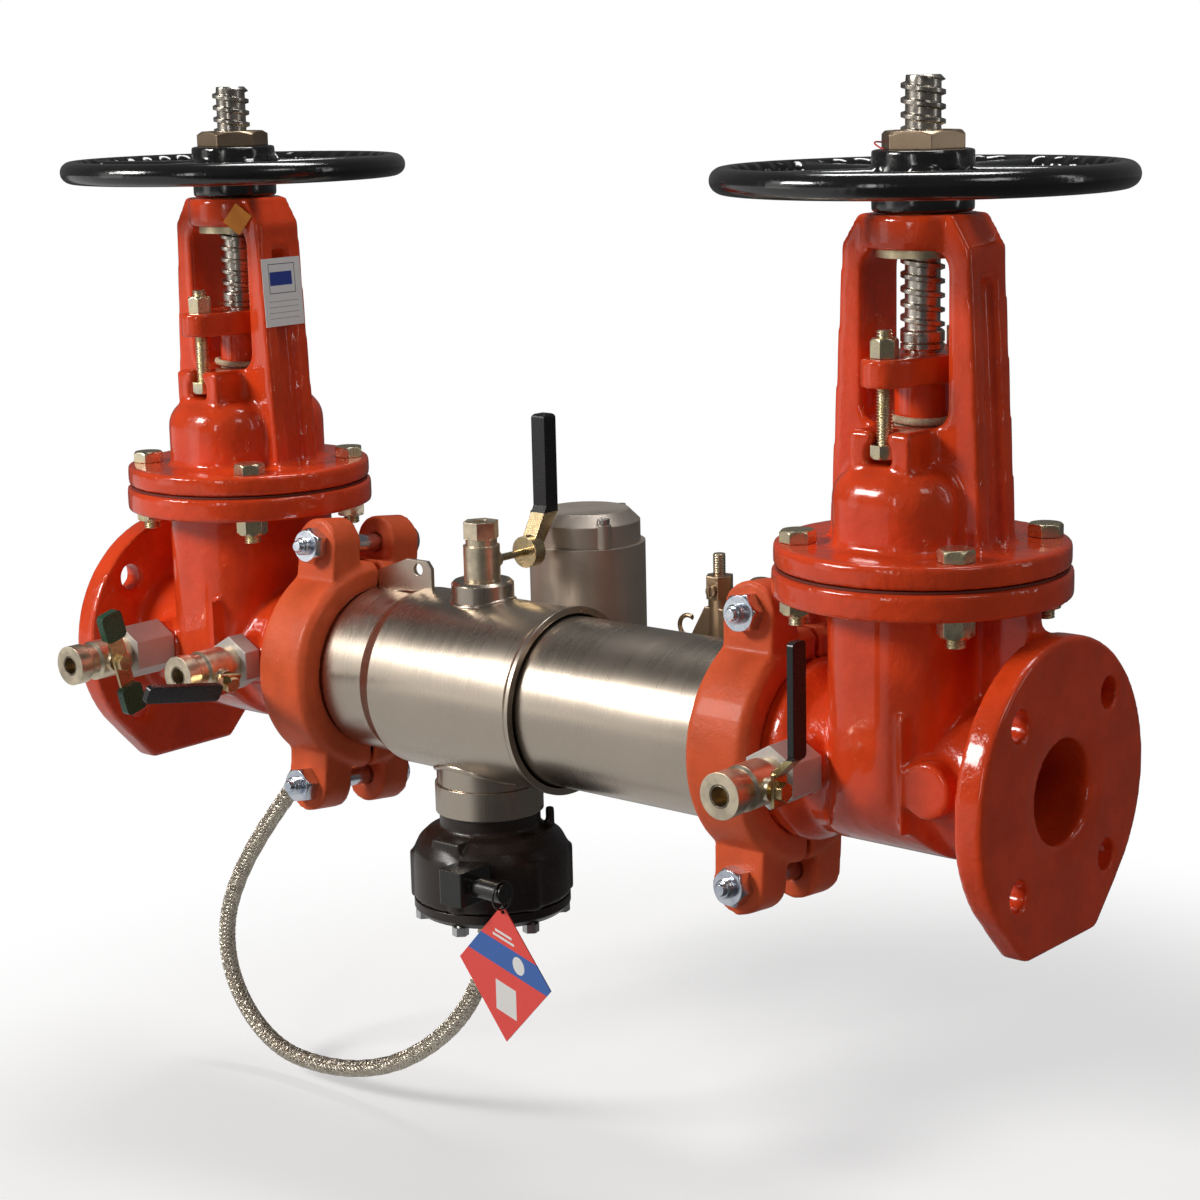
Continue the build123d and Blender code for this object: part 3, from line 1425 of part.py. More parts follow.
def write_valves():
    """Both gate valves and the pieces they share."""
    plain = {
        "bonnet": bonnet(), "gland": gland(), "stem": stem(), "wedge": wedge(),
        "yoke_sleeve": yoke_sleeve(), "handwheel": handwheel(), "wheel_nut": wheel_nut(),
    }
    gaskets, bolts, rope, studs = [], [], [], []
    for name, place in VALVES:
        front = 1 if name == "inlet" else -1
        ports = [(-neck_boss_offset, 1, neck_boss_reach), (-neck_boss_offset, -1, neck_boss_reach)]
        if name == "inlet":
            ports.append((flange_boss_offset, front, flange_boss_reach))
        write(f"{name}_valve_body", place * valve_body(ports))
        for part, shape in plain.items():
            write(f"{name}_{part}", place * shape)
        gaskets.append(place * bonnet_gasket())
        rope.append(place * packing())
        for x in (-bonnet_bolt_x, bonnet_bolt_x):
            for y in (-bonnet_bolt_y, bonnet_bolt_y):
                bolts += [place * Pos(x, y, 0) * piece for piece in bonnet_bolt()]
        for y in (-gland_bolt_offset, gland_bolt_offset):
            studs += [place * Pos(0, y, 0) * piece for piece in gland_bolt()]
    write("bonnet_gaskets", gaskets)
    write("bonnet_bolts", bolts)
    write("stem_packing", rope)
    write("gland_bolts", studs)


def write_couplings():
    """Both couplings."""
    half = coupling_half()
    gaskets, bolts = [], []
    for name, x, roll in (
        ("inlet", inlet_coupling_x, inlet_coupling_roll), ("outlet", outlet_coupling_x, outlet_coupling_roll),
    ):
        place = Pos(x, 0, 0) * Rot(roll, 0, 0)
        write(f"{name}_coupling_front", place * half)
        write(f"{name}_coupling_rear", place * Rot(0, 180, 180) * half)
        gaskets.append(place * coupling_gasket())
        for side in (-1, 1):
            bolts += [place * piece for piece in coupling_bolt(side)]
    write("coupling_gaskets", gaskets)
    write("coupling_bolts", bolts)


def write_body():
    """Stainless body and its two check valves."""
    write("main_housing", main_housing())
    write("outlet_tube", outlet_tube())
    write("sleeve_seal", sleeve_seal())
    seats = (housing_start + check_inset, tube_start + check_inset)
    for index, x in enumerate(seats, start=1):
        write(f"check_{index}_seat", check_seat(x))
        write(f"check_{index}_clapper", clapper(x))
    write("check_pins", [check_pin(x) for x in seats])
    write("check_springs", [coil for x in seats for coil in check_spring(x)])


def write_relief():
    """Relief valve, sensor, tag and hose."""
    write("relief_ring", Pos(relief_x, 0, 0) * union_ring())
    write("relief_housing", relief_housing())
    write("relief_plunger", relief_plunger())
    write("relief_spring", relief_spring())
    write("relief_diaphragm", relief_diaphragm())
    write("relief_cover", relief_cover())
    write("cover_screws", cover_screws())
    write("sensor_box", sensor_box())
    write("hang_tag", hang_tag())
    write("sensing_hose", sensing_hose())
    write("hose_fittings", hose_fittings())


def write_cocks():
    """The four test cocks."""
    bushings = []
    for index, x, length, roll, spin in COCKS:
        place = cock_place(x, -1, length, roll)
        handle = tee_handle() if index == 1 else lever_handle()
        ball = place * Pos(0, 0, cock_stem_inset) * Rot(spin, 0, 0)
        write(f"cock_{index}_body", place * cock_body())
        write(f"cock_{index}_handle", ball * handle)
        seat = cock_place(x, -1, length, 0) * Pos(0, 0, -length)
        bushings.append(seat * bushing(length - seat_gap / 2))
    write("cock_3_body", top_cock_body())
    write("cock_3_handle", top_cock_handle())
    write("cock_bushings", bushings)


def write_bypass():
    """Bypass line behind the body."""
    write("canister", canister())
    write("canister_cap", canister_cap())
    write("bypass_pipes", bypass_pipes())
    write("bypass_check", bypass_check())
    write("bypass_cock_stem", bypass_cock_stem())


def main():
    os.makedirs("parts", exist_ok=True)
    write_valves()
    write_couplings()
    write_body()
    write_relief()
    write_cocks()
    write_bypass()


main()
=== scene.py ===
"""Looks of a backflow preventer: two rising stem gate valves, a stainless body, hose, cocks and bypass."""

import json
import math

import bmesh
import bpy
from bpy.props import FloatProperty, FloatVectorProperty, IntProperty, PointerProperty
from mathutils import Matrix, Vector


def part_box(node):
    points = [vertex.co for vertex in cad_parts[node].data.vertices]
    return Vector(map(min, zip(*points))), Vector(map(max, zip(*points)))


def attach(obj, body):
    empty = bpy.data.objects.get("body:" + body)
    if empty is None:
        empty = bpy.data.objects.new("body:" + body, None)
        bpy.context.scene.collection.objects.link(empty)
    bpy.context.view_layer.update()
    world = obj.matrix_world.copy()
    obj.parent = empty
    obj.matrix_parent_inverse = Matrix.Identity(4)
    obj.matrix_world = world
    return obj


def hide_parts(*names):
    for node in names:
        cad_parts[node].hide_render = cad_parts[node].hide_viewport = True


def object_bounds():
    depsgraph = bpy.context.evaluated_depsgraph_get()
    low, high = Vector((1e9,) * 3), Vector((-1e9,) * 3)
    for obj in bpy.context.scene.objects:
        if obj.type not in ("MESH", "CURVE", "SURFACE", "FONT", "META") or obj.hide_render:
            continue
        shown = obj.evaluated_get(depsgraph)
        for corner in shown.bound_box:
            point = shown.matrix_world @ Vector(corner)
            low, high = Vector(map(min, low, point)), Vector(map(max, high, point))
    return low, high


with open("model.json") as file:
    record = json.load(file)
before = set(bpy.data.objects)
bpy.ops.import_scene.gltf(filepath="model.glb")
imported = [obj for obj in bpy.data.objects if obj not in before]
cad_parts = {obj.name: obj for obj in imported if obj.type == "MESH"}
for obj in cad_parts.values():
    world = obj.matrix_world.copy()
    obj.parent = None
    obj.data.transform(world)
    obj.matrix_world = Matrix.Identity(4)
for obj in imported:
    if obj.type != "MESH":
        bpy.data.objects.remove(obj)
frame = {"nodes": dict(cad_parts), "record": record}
cad_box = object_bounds()

bl_info = {
    "name": "Backflow preventer looks",
    "version": (1, 0, 0),
    "blender": (4, 5, 0),
    "location": "View3D > Sidebar > Valve",
    "description": "Castings, threads, fasteners, braided hose and finishes of a backflow preventer",
    "category": "Object",
}


def middle(node):
    """Middle of a node along the flow."""
    low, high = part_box(node)
    return (low[0] + high[0]) / 2


# Places taken from the frame, and sizes in metres
FULL = 2 * math.pi
WHITE = (1.0, 1.0, 1.0)
STEMS = {valve: middle(f"{valve}_stem") for valve in ("inlet", "outlet")}
GLAND_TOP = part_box("inlet_gland")[1][2]
STEM_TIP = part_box("inlet_stem")[1][2]
RELIEF_X = middle("relief_ring")
COCK_AXIS = 0.0045
COCK_PIVOTS = {1: (0.0574, -0.113), 2: (0.1469, -0.090), 4: (0.6341, -0.1055)}
COUPLING_ROLLS = {"inlet": -6.5, "outlet": -4.6}
LABEL_BOX = ((STEMS["inlet"] + 0.044, -0.0195, 0.238), (STEMS["inlet"] + 0.048, 0.0170, 0.286))
HOSE_ROUTE = (
    (0.147, 0.0, -0.087), (0.119, 0.0, -0.117), (0.090, 0.0, -0.150), (0.063, 0.0, -0.187),
    (0.045, 0.0, -0.226), (0.046, 0.0, -0.266), (0.067, 0.0, -0.300), (0.101, 0.0, -0.320),
    (0.141, 0.0, -0.322), (0.184, 0.0, -0.316), (0.226, 0.0, -0.301), (0.264, 0.0, -0.277),
    (0.295, 0.0, -0.248), (0.315, 0.0, -0.216), (0.325, 0.0, -0.184),
)


# Shader maths


class Link:
    """One output of a shader node, with Python's operators for shader maths."""

    def __init__(self, shader, socket):
        self.shader = shader
        self.socket = socket

    def maths(self, operation, *values):
        inputs = dict(enumerate(values))
        return self.shader.node("ShaderNodeMath", {"operation": operation}, inputs)

    def __add__(self, other):
        return self.maths("ADD", self, other)

    def __radd__(self, other):
        return self.maths("ADD", other, self)

    def __sub__(self, other):
        return self.maths("SUBTRACT", self, other)

    def __rsub__(self, other):
        return self.maths("SUBTRACT", other, self)

    def __mul__(self, other):
        return self.maths("MULTIPLY", self, other)

    def clamp(self, low, high):
        return self.shader.node("ShaderNodeClamp", {}, {"Value": self, "Min": low, "Max": high})

    def sine(self):
        return self.maths("SINE", self)

    def root(self):
        return self.maths("SQRT", self)

    def size(self):
        return self.maths("ABSOLUTE", self)

    def above(self, edge):
        return self.maths("GREATER_THAN", self, edge)

    def below(self, edge):
        return self.maths("LESS_THAN", self, edge)

    def step(self, low, high):
        """0 under low, 1 over high, smooth between them."""
        inputs = {"Value": self, "From Min": low, "From Max": high}
        return self.shader.node("ShaderNodeMapRange", {"interpolation_type": "SMOOTHSTEP"}, inputs)


class Shader:
    """Nodes of a new material, or of a world, while they are being written."""

    def __init__(self, name, world=None):
        plain = bpy.data.materials.get(name)
        if plain:
            bpy.data.materials.remove(plain)
        self.material = world or bpy.data.materials.new(name)
        self.material.use_nodes = True
        self.tree = self.material.node_tree
        self.tree.nodes.clear()

    def node(self, kind, settings=None, inputs=None, output=0):
        made = self.tree.nodes.new(kind)
        for key, value in (settings or {}).items():
            setattr(made, key, value)
        for key, value in (inputs or {}).items():
            if isinstance(value, Link):
                self.tree.links.new(value.socket, made.inputs[key])
            else:
                made.inputs[key].default_value = value
        return Link(self, made.outputs[output]) if len(made.outputs) else None

    def place(self, scale=(1, 1, 1)):
        """Object coordinates in metres, stretched where a pattern runs one way."""
        inputs = {"Vector": self.node("ShaderNodeTexCoord", {}, {}, "Object"), "Scale": scale}
        return self.node("ShaderNodeMapping", {"vector_type": "POINT"}, inputs)

    def axis(self, name, vector=None):
        """One coordinate of a vector, by its name X, Y or Z."""
        vector = vector or self.place()
        return self.node("ShaderNodeSeparateXYZ", {}, {"Vector": vector}, name)

    def noise(self, scale, detail=3.0, rough=0.5, vector=None):
        inputs = {"Vector": vector or self.place(), "Scale": scale, "Detail": detail, "Roughness": rough}
        return self.node("ShaderNodeTexNoise", {}, inputs)

    def cells(self, scale):
        return self.node("ShaderNodeTexVoronoi", {}, {"Vector": self.place(), "Scale": scale})

    def mix(self, factor, first, second):
        """Colours mixed by a factor."""
        inputs = {0: factor, 6: colour4(first), 7: colour4(second)}
        return self.node("ShaderNodeMix", {"data_type": "RGBA"}, inputs, 2)

    def bump(self, height, distance, strength=1.0, normal=None):
        inputs = {"Height": height, "Distance": distance, "Strength": strength}
        if normal is not None:
            inputs["Normal"] = normal
        return self.node("ShaderNodeBump", {}, inputs)

    def rounded(self, radius):
        """Normal that rounds the edges by a small radius."""
        return self.node("ShaderNodeBevel", {"samples": 6}, {"Radius": radius})

    def seen(self):
        """1 for what the camera sees, by itself or through glass, and the rays of reflections."""
        rays = ("Is Camera Ray", "Is Transmission Ray", "Is Glossy Ray")
        camera, glass, glossy = (self.node("ShaderNodeLightPath", {}, {}, ray) for ray in rays)
        return camera.maths("MAXIMUM", camera, glass), glossy

    def white(self, strength):
        """Even white light of a strength, whatever the lamps do."""
        return self.node("ShaderNodeEmission", {}, {"Color": colour4(WHITE), "Strength": strength})

    def blend(self, factor, first, second):
        """Shaders mixed by a factor."""
        return self.node("ShaderNodeMixShader", {}, {0: factor, 1: first, 2: second})

    def surface(self, **inputs):
        """Close the material with one principled surface; names are its sockets, spaces as underscores."""
        sockets = {key.replace("_", " ").title().replace("Ior", "IOR"): key for key in inputs}
        values = {socket: inputs[key] for socket, key in sockets.items()}
        shader = self.node("ShaderNodeBsdfPrincipled", {}, values)
        self.node("ShaderNodeOutputMaterial", {}, {"Surface": shader})


def colour4(value):
    """Colour with its alpha, or the link that it comes from."""
    return value if isinstance(value, Link) else (*value, 1.0)


def toned(colour, factor, lift=0.0):
    """Colour made darker or lighter by a factor."""
    return tuple(min(1.0, channel * factor + lift) for channel in colour)


def patch(side, height, reach, rise):
    """1 inside a rectangle about the origin, from half its width and half its height."""
    return side.size().below(reach) * height.size().below(rise)


# Finishes


def painted_casting(name, colour, lump, peel, roughness, coat):
    """Thick paint over a sand casting: lumps, orange peel and a slightly uneven colour."""
    shader = Shader(name)
    broad = shader.noise(26, 4, 0.55)
    fine = shader.noise(420, 3, 0.6)
    tint = shader.mix(broad.step(0.3, 0.72), toned(colour, 0.84), toned(colour, 1.08))
    tint = shader.mix(fine * 0.06, tint, (0.80, 0.24, 0.10))
    lumps = shader.bump(shader.noise(95, 4, 0.6), lump)
    skin = shader.bump(shader.noise(640, 2, 0.5), peel, 1.0, lumps)
    shader.surface(
        base_color=tint,
        roughness=(broad * 0.10 + fine * 0.10 + roughness - 0.08).clamp(0.05, 1),
        normal=skin,
        coat_weight=coat,
        coat_roughness=0.08,
        specular_ior_level=0.2,
    )


def brushed_stainless(name, colour, roughness):
    """Rolled and brushed stainless, its fine lines running round the pipe."""
    shader = Shader(name)
    lines = shader.noise(1.0, 4, 0.65, shader.place(scale=(900, 14, 14)))
    cloud = shader.noise(17, 4, 0.6)
    tint = shader.mix(lines * 0.2 + cloud * 0.5, toned(colour, 0.8), toned(colour, 1.15))
    shader.surface(
        base_color=tint,
        metallic=1.0,
        roughness=(lines * 0.10 + cloud * 0.16 + roughness - 0.10).clamp(0.08, 1),
        normal=shader.bump(lines, 0.00003, 0.4, shader.rounded(0.0008)),
    )


def machined_metal(name, colour, roughness, spread=0.3, speck=0.0):
    """Turned or milled metal with faint tool marks and stains."""
    shader = Shader(name)
    marks = shader.noise(1.0, 3, 0.6, shader.place(scale=(260, 260, 1500)))
    cloud = shader.noise(70, 4, 0.6)
    tint = shader.mix(cloud.step(0.3, 0.7), toned(colour, 1 - spread), toned(colour, 1.15))
    if speck:
        specks = shader.noise(900, 2, 0.5).step(0.62, 0.75)
        tint = shader.mix(specks * speck, tint, (0.02, 0.015, 0.01))
    shader.surface(
        base_color=tint,
        metallic=1.0,
        roughness=(marks * 0.14 + cloud * 0.2 + roughness - 0.14).clamp(0.06, 1),
        normal=shader.bump(marks, 0.00005, 0.6, shader.rounded(0.0006)),
    )


def cock_metal(name, colour):
    """Plated cock bodies, with a dark threaded ring round the bore of each side cock's mouth: painted shade
    that stands in for the threaded recess, with bumps of its thread.
    """
    # Radius and depth of the painted recess shade at each mouth, and the pitch of its thread rings
    ring_radius, ring_depth, thread_pitch = 0.0072, 0.0004, 0.0011
    shader = Shader(name)
    cloud = shader.noise(70, 4, 0.6)
    x, y, z = (shader.axis(letter) for letter in "XYZ")
    tint = shader.mix(cloud.step(0.3, 0.7), toned(colour, 0.7), toned(colour, 1.15))
    height = 0
    for number, (pivot_x, _) in COCK_PIVOTS.items():
        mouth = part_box(f"cock_{number}_body")[0][1]
        side, up = x - pivot_x, z - COCK_AXIS
        distance = (side * side + up * up).root()
        # Painted shade: the ring round the bore stands in for the shadow inside the threaded mouth; the same
        # ring carries the thread bumps
        recess_shade_and_thread = distance.below(ring_radius) * y.below(mouth + ring_depth)
        thread = (distance * (FULL / thread_pitch)).sine()
        # Painted shade: dark brown over the ring, darker and lighter by turns along the thread
        tint = shader.mix(recess_shade_and_thread * (thread * 0.25 + 0.65), tint, (0.05, 0.033, 0.02))
        height = height + recess_shade_and_thread * thread
    shader.surface(
        base_color=tint,
        metallic=1.0,
        roughness=(cloud * 0.2 + 0.24).clamp(0.06, 1),
        normal=shader.bump(height, 0.0003, 0.8, shader.rounded(0.0006)),
    )


def cast_metal(name, colour, roughness, grain, metallic=1.0):
    """Bare or thinly coated cast metal with a sandy skin."""
    shader = Shader(name)
    sand = shader.noise(760, 3, 0.65)
    cloud = shader.noise(38, 4, 0.6)
    tint = shader.mix(cloud * 0.6 + sand * 0.3, toned(colour, 0.68), toned(colour, 1.22))
    shader.surface(
        base_color=tint,
        metallic=metallic,
        roughness=(sand * 0.2 + roughness - 0.1).clamp(0.1, 1),
        normal=shader.bump(sand, grain, 0.8, shader.rounded(0.0012)),
    )


def plated_zinc(name, colour, other, roughness):
    """Zinc plate with the faint rainbow of its passivation."""
    shader = Shader(name)
    cloud = shader.noise(120, 3, 0.5)
    tint = shader.mix(cloud.step(0.35, 0.7), colour, other)
    marks = shader.noise(520, 3, 0.6)
    shader.surface(
        base_color=tint,
        metallic=1.0,
        roughness=(marks * 0.18 + roughness - 0.08).clamp(0.06, 1),
        normal=shader.bump(marks, 0.00008, 0.5, shader.rounded(0.0005)),
    )


def moulded(name, colour, roughness, grain=0.00006, coat=0.0):
    """Moulded plastic, dipped grip or rubber."""
    shader = Shader(name)
    skin = shader.noise(900, 2, 0.6)
    cloud = shader.noise(45, 3, 0.5)
    tint = shader.mix(cloud * 0.7, colour, toned(colour, 1.5, 0.012))
    shader.surface(
        base_color=tint,
        roughness=(skin * 0.14 + cloud * 0.1 + roughness - 0.1).clamp(0.05, 1),
        normal=shader.bump(skin, grain, 0.8, shader.rounded(0.0009)),
        coat_weight=coat,
        coat_roughness=0.12,
    )


def printed_card(name, low, high):
    """Red card with a slanting blue band, and bare pale fields where a print would be."""
    slant, pale, spot_radius = 0.17, (0.88, 0.87, 0.85), 0.0060
    shader = Shader(name)
    width = high[0] - low[0]
    up = shader.axis("Z")
    side = shader.axis("X") - (low[0] + high[0]) / 2
    height = up - (low[2] + width / 2) + side * slant
    fibre = shader.noise(700, 3, 0.6)
    red = shader.mix(fibre * 0.5, (0.88, 0.060, 0.046), (0.94, 0.085, 0.062))
    tint = shader.mix(height.above(0.0035) * height.below(0.0205), red, (0.035, 0.13, 0.46))
    tint = shader.mix(patch(side - 0.001, height + 0.0175, 0.0105, 0.0105), tint, pale)
    spot_x, spot_z = side - 0.0150, height - 0.0120
    tint = shader.mix((spot_x * spot_x + spot_z * spot_z).below(spot_radius**2), tint, pale)
    for offset, reach in ((0.0280, 0.0085), (0.0245, 0.0110)):
        tint = shader.mix(patch(side, height - offset, reach, 0.0009), tint, pale)
    tie_ring = up.above(low[2] + width - 0.002)
    tint = shader.mix(tie_ring, tint, (0.02, 0.018, 0.016))
    shader.surface(
        base_color=tint,
        roughness=(fibre * 0.12 + 0.30).clamp(0, 1),
        normal=shader.bump(fibre, 0.00003, 0.5),
        coat_weight=0.25,
    )


def white_label(name, low, high):
    """White paper label with a dark frame round a blue field and grey rules, without words."""
    shader = Shader(name)
    middle_y, middle_z = (low[1] + high[1]) / 2, (low[2] + high[2]) / 2
    side, height = shader.axis("Y") - middle_y, shader.axis("Z") - middle_z
    fibre = shader.noise(800, 3, 0.6)
    tint = shader.mix(fibre * 0.4, (0.86, 0.86, 0.85), (0.80, 0.80, 0.79))
    above = height - 0.0095
    tint = shader.mix(patch(side, above, 0.0125, 0.0105), tint, (0.05, 0.05, 0.06))
    tint = shader.mix(patch(side, above, 0.0120, 0.0100), tint, (0.84, 0.84, 0.84))
    tint = shader.mix(patch(side + 0.001, above, 0.0105, 0.0048), tint, (0.03, 0.06, 0.32))
    for offset in (0.0065, 0.0105, 0.0145, 0.0185):
        tint = shader.mix(patch(side, height + offset, 0.0140, 0.0002), tint, (0.35, 0.35, 0.36))
    shader.surface(
        base_color=tint,
        roughness=(fibre * 0.1 + 0.3).clamp(0, 1),
        normal=shader.bump(fibre, 0.00002, 0.4),
    )


def flat_sticker(name, colour, light):
    """Plain bright sticker."""
    shader = Shader(name)
    fibre = shader.noise(600, 3, 0.6)
    shader.surface(
        base_color=shader.mix(fibre, colour, light),
        roughness=(fibre * 0.1 + 0.34).clamp(0, 1),
        normal=shader.bump(fibre, 0.00002, 0.4),
    )


def dipped_handle(name, grip, metal, masks):
    """Plated handle whose grips are dipped in plastic where one of the masks says so."""
    shader = Shader(name)
    x, y, z = (shader.axis(letter) for letter in "XYZ")
    dipped = None
    for mask in masks:
        here = mask(x, y, z)
        dipped = here if dipped is None else dipped.maths("MAXIMUM", dipped, here)
    skin = shader.noise(900, 2, 0.6)
    cloud = shader.noise(90, 4, 0.6)
    bare = shader.mix(cloud.step(0.3, 0.7), toned(metal, 0.7), metal)
    coat = shader.mix(cloud * 0.7, grip, toned(grip, 1.5, 0.01))
    shader.surface(
        base_color=shader.mix(dipped, bare, coat),
        metallic=1 - dipped,
        roughness=(skin * 0.12 + dipped * 0.02 + 0.2).clamp(0.05, 1),
        normal=shader.bump(skin, 0.00006, 0.7, shader.rounded(0.0007)),
    )


def lever_run(number, along, start, both=False, y_limit=1.0):
    """Mask of a lever's grip: beyond a distance from its pivot along a direction, or both ways along it."""
    pivot_x, pivot_y = COCK_PIVOTS[number]

    def mask(x, y, z):
        run = (x - pivot_x) * along[0] + (y - pivot_y) * along[1] + (z - COCK_AXIS) * along[2]
        return (run.size() if both else run).above(start) * y.below(y_limit)

    return mask


def joint_rubber(name):
    """Black rubber, painted over where it shows between body and bonnet."""
    shader = Shader(name)
    skin = shader.noise(800, 2, 0.6)
    painted = shader.axis("Z").above(0.12)
    tint = shader.mix(skin, (0.012, 0.012, 0.012), (0.03, 0.03, 0.03))
    tint = shader.mix(painted, tint, (0.16, 0.020, 0.008))
    shader.surface(
        base_color=tint,
        roughness=(skin * 0.2 + 0.5).clamp(0, 1),
        normal=shader.bump(skin, 0.00006, 0.6),
    )


def braid_metal(name):
    """Flat bundles of bright wire, ribbed along each bundle, with painted shade in the grooves between the
    wires.
    """
    shader = Shader(name)
    uv = shader.node("ShaderNodeUVMap", {"uv_map": "wires"})
    across = shader.axis("X", uv)
    ribs_and_groove_shade = (across * (5 * math.pi)).sine().size()
    stain = shader.noise(210, 4, 0.6)
    tint = shader.mix(stain.step(0.35, 0.75), (0.66, 0.58, 0.47), (0.95, 0.88, 0.76))
    # Painted shade: dark brown in the grooves between the wires and along the bundle's edges
    tint = shader.mix(ribs_and_groove_shade.step(0.05, 0.6), (0.11, 0.085, 0.06), tint)
    shader.surface(
        base_color=tint,
        metallic=1.0,
        roughness=(stain * 0.2 + 0.2).clamp(0.1, 1),
        normal=shader.bump(ribs_and_groove_shade, 0.00018, 0.9),
    )


def packing_rope(name):
    """Braided packing rope."""
    shader = Shader(name)
    weave = shader.cells(700)
    tint = shader.mix(weave, (0.34, 0.25, 0.13), (0.72, 0.62, 0.44))
    shader.surface(base_color=tint, roughness=0.85, normal=shader.bump(weave, 0.0003))


def finishes(paint, coupling, wheel):
    """Write every material of the object, each by the name of its slot."""
    brass, black = (0.68, 0.53, 0.30), (0.006, 0.006, 0.007)
    lean = math.radians(14.6)
    tee_line, lever_line = (0, -math.sin(lean), math.cos(lean)), (0.0653, -0.9816, 0.1793)
    hub, half_tee, cap = 0.0206, 0.0178, 0.1115
    painted_casting("valve_paint", paint, lump=0.0011, peel=0.00009, roughness=0.16, coat=0.7)
    painted_casting("coupling_paint", coupling, lump=0.0008, peel=0.00016, roughness=0.42, coat=0.06)
    machined_metal("stem_steel", (0.62, 0.57, 0.50), 0.24, spread=0.4, speck=0.5)
    machined_metal("pale_brass", (0.80, 0.68, 0.44), 0.38)
    machined_metal("inner_steel", (0.55, 0.55, 0.55), 0.35)
    machined_metal("screw_steel", (0.62, 0.62, 0.62), 0.3)
    machined_metal("fitting_brass", (0.60, 0.52, 0.38), 0.3)
    machined_metal("bypass_copper", (0.46, 0.33, 0.22), 0.38)
    brushed_stainless("stainless", (0.60, 0.515, 0.425), 0.25)
    plated_zinc("yellow_zinc", (0.84, 0.73, 0.45), (0.74, 0.66, 0.50), 0.28)
    plated_zinc("silver_zinc", (0.74, 0.78, 0.84), (0.58, 0.63, 0.72), 0.2)
    cast_metal("bronze", (0.50, 0.37, 0.25), 0.34, 0.00010)
    cast_metal("relief_black", (0.026, 0.016, 0.012), 0.30, 0.00008, metallic=0.0)
    cast_metal("bushing_steel", (0.66, 0.62, 0.58), 0.5, 0.00005, metallic=0.5)
    cast_metal("canister_grey", (0.50, 0.435, 0.37), 0.40, 0.00007, metallic=0.6)
    cock_metal("cock_brass", (0.78, 0.665, 0.49))
    moulded("wedge_rubber", (0.03, 0.03, 0.03), 0.6)
    moulded("black_paint", wheel, 0.12, 0.00012, coat=0.8)
    moulded("black_plastic", (0.008, 0.007, 0.006), 0.24, 0.00004, coat=0.3)
    joint_rubber("rubber")
    packing_rope("packing_cord")
    braid_metal("hose_braid")
    printed_card("tag_card", *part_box("hang_tag"))
    white_label("label_white", *LABEL_BOX)
    flat_sticker("sticker_orange", (0.88, 0.26, 0.02), (0.95, 0.36, 0.04))
    flat_sticker("seal_red", (0.5, 0.02, 0.02), (0.6, 0.03, 0.03))
    dipped_handle("green_grip", (0.012, 0.060, 0.030), brass, [lever_run(1, tee_line, half_tee, both=True)])
    dipped_handle(
        "black_grip", black, brass,
        [lever_run(2, lever_line, hub, y_limit=-0.05), lambda x, y, z: z.above(cap)])
    dipped_handle("zinc_lever", black, (0.72, 0.58, 0.30), [lever_run(4, (0, 0, 1), hub)])


# Mesh helpers


def as_mesh(name, bm):
    """Mesh that takes over what was built."""
    mesh = bpy.data.meshes.new(name)
    bm.to_mesh(mesh)
    bm.free()
    return mesh


def finish_mesh(name, bm, slot, sharp, ride, replaces=()):
    """Turn the faces outwards and make the mesh an object."""
    bmesh.ops.recalc_face_normals(bm, faces=bm.faces)
    dress(name, bm, slot, sharp, ride, replaces)


def placed(name, data):
    """New object of the scene, with a mesh, curve, lamp or camera."""
    piece = bpy.data.objects.new(name, data)
    bpy.context.scene.collection.objects.link(piece)
    return piece


def dress(name, bm, slot, sharp, ride, replaces=()):
    """Piece at the origin, smooth up to an angle in degrees, with its finish, body and slot."""
    mesh = as_mesh(name, bm)
    mesh.shade_smooth()
    mesh.set_sharp_from_angle(angle=math.radians(sharp))
    mesh.materials.clear()
    mesh.materials.append(bpy.data.materials[slot])
    piece = placed(name, mesh)
    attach(piece, ride)
    if replaces:
        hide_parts(*replaces)
    return piece


def node_mesh(node):
    """Copy of a node's mesh with its loose triangles joined."""
    bm = bmesh.new()
    bm.from_mesh(frame["nodes"][node].data)
    bmesh.ops.remove_doubles(bm, verts=bm.verts, dist=2e-6)
    return bm


def circle(count):
    """Even angles round a full turn."""
    return [FULL * index / count for index in range(count)]


def spin(bm, outline, angle, rise, steps, merge):
    """Turn an outline of (radius, height) points about Z, rising with each step."""
    verts = [bm.verts.new((radius, 0, height)) for radius, height in outline]
    edges = [bm.edges.new(pair) for pair in zip(verts, verts[1:])]
    bmesh.ops.spin(
        bm, geom=verts + edges, cent=(0, 0, 0), axis=(0, 0, 1), dvec=(0, 0, rise), angle=angle,
        steps=steps, use_merge=merge)


def lathe(outline, steps=64):
    """Solid turned from an outline that starts and ends on the axis, or closes on itself."""
    bm = bmesh.new()
    spin(bm, outline, FULL, 0, steps, True)
    bmesh.ops.remove_doubles(bm, verts=bm.verts, dist=1e-7)
    return bm


def rod(radius, low, high, steps=24):
    """Plain round bar between two heights."""
    return lathe([(0, low), (radius, low), (radius, high), (0, high)], steps)


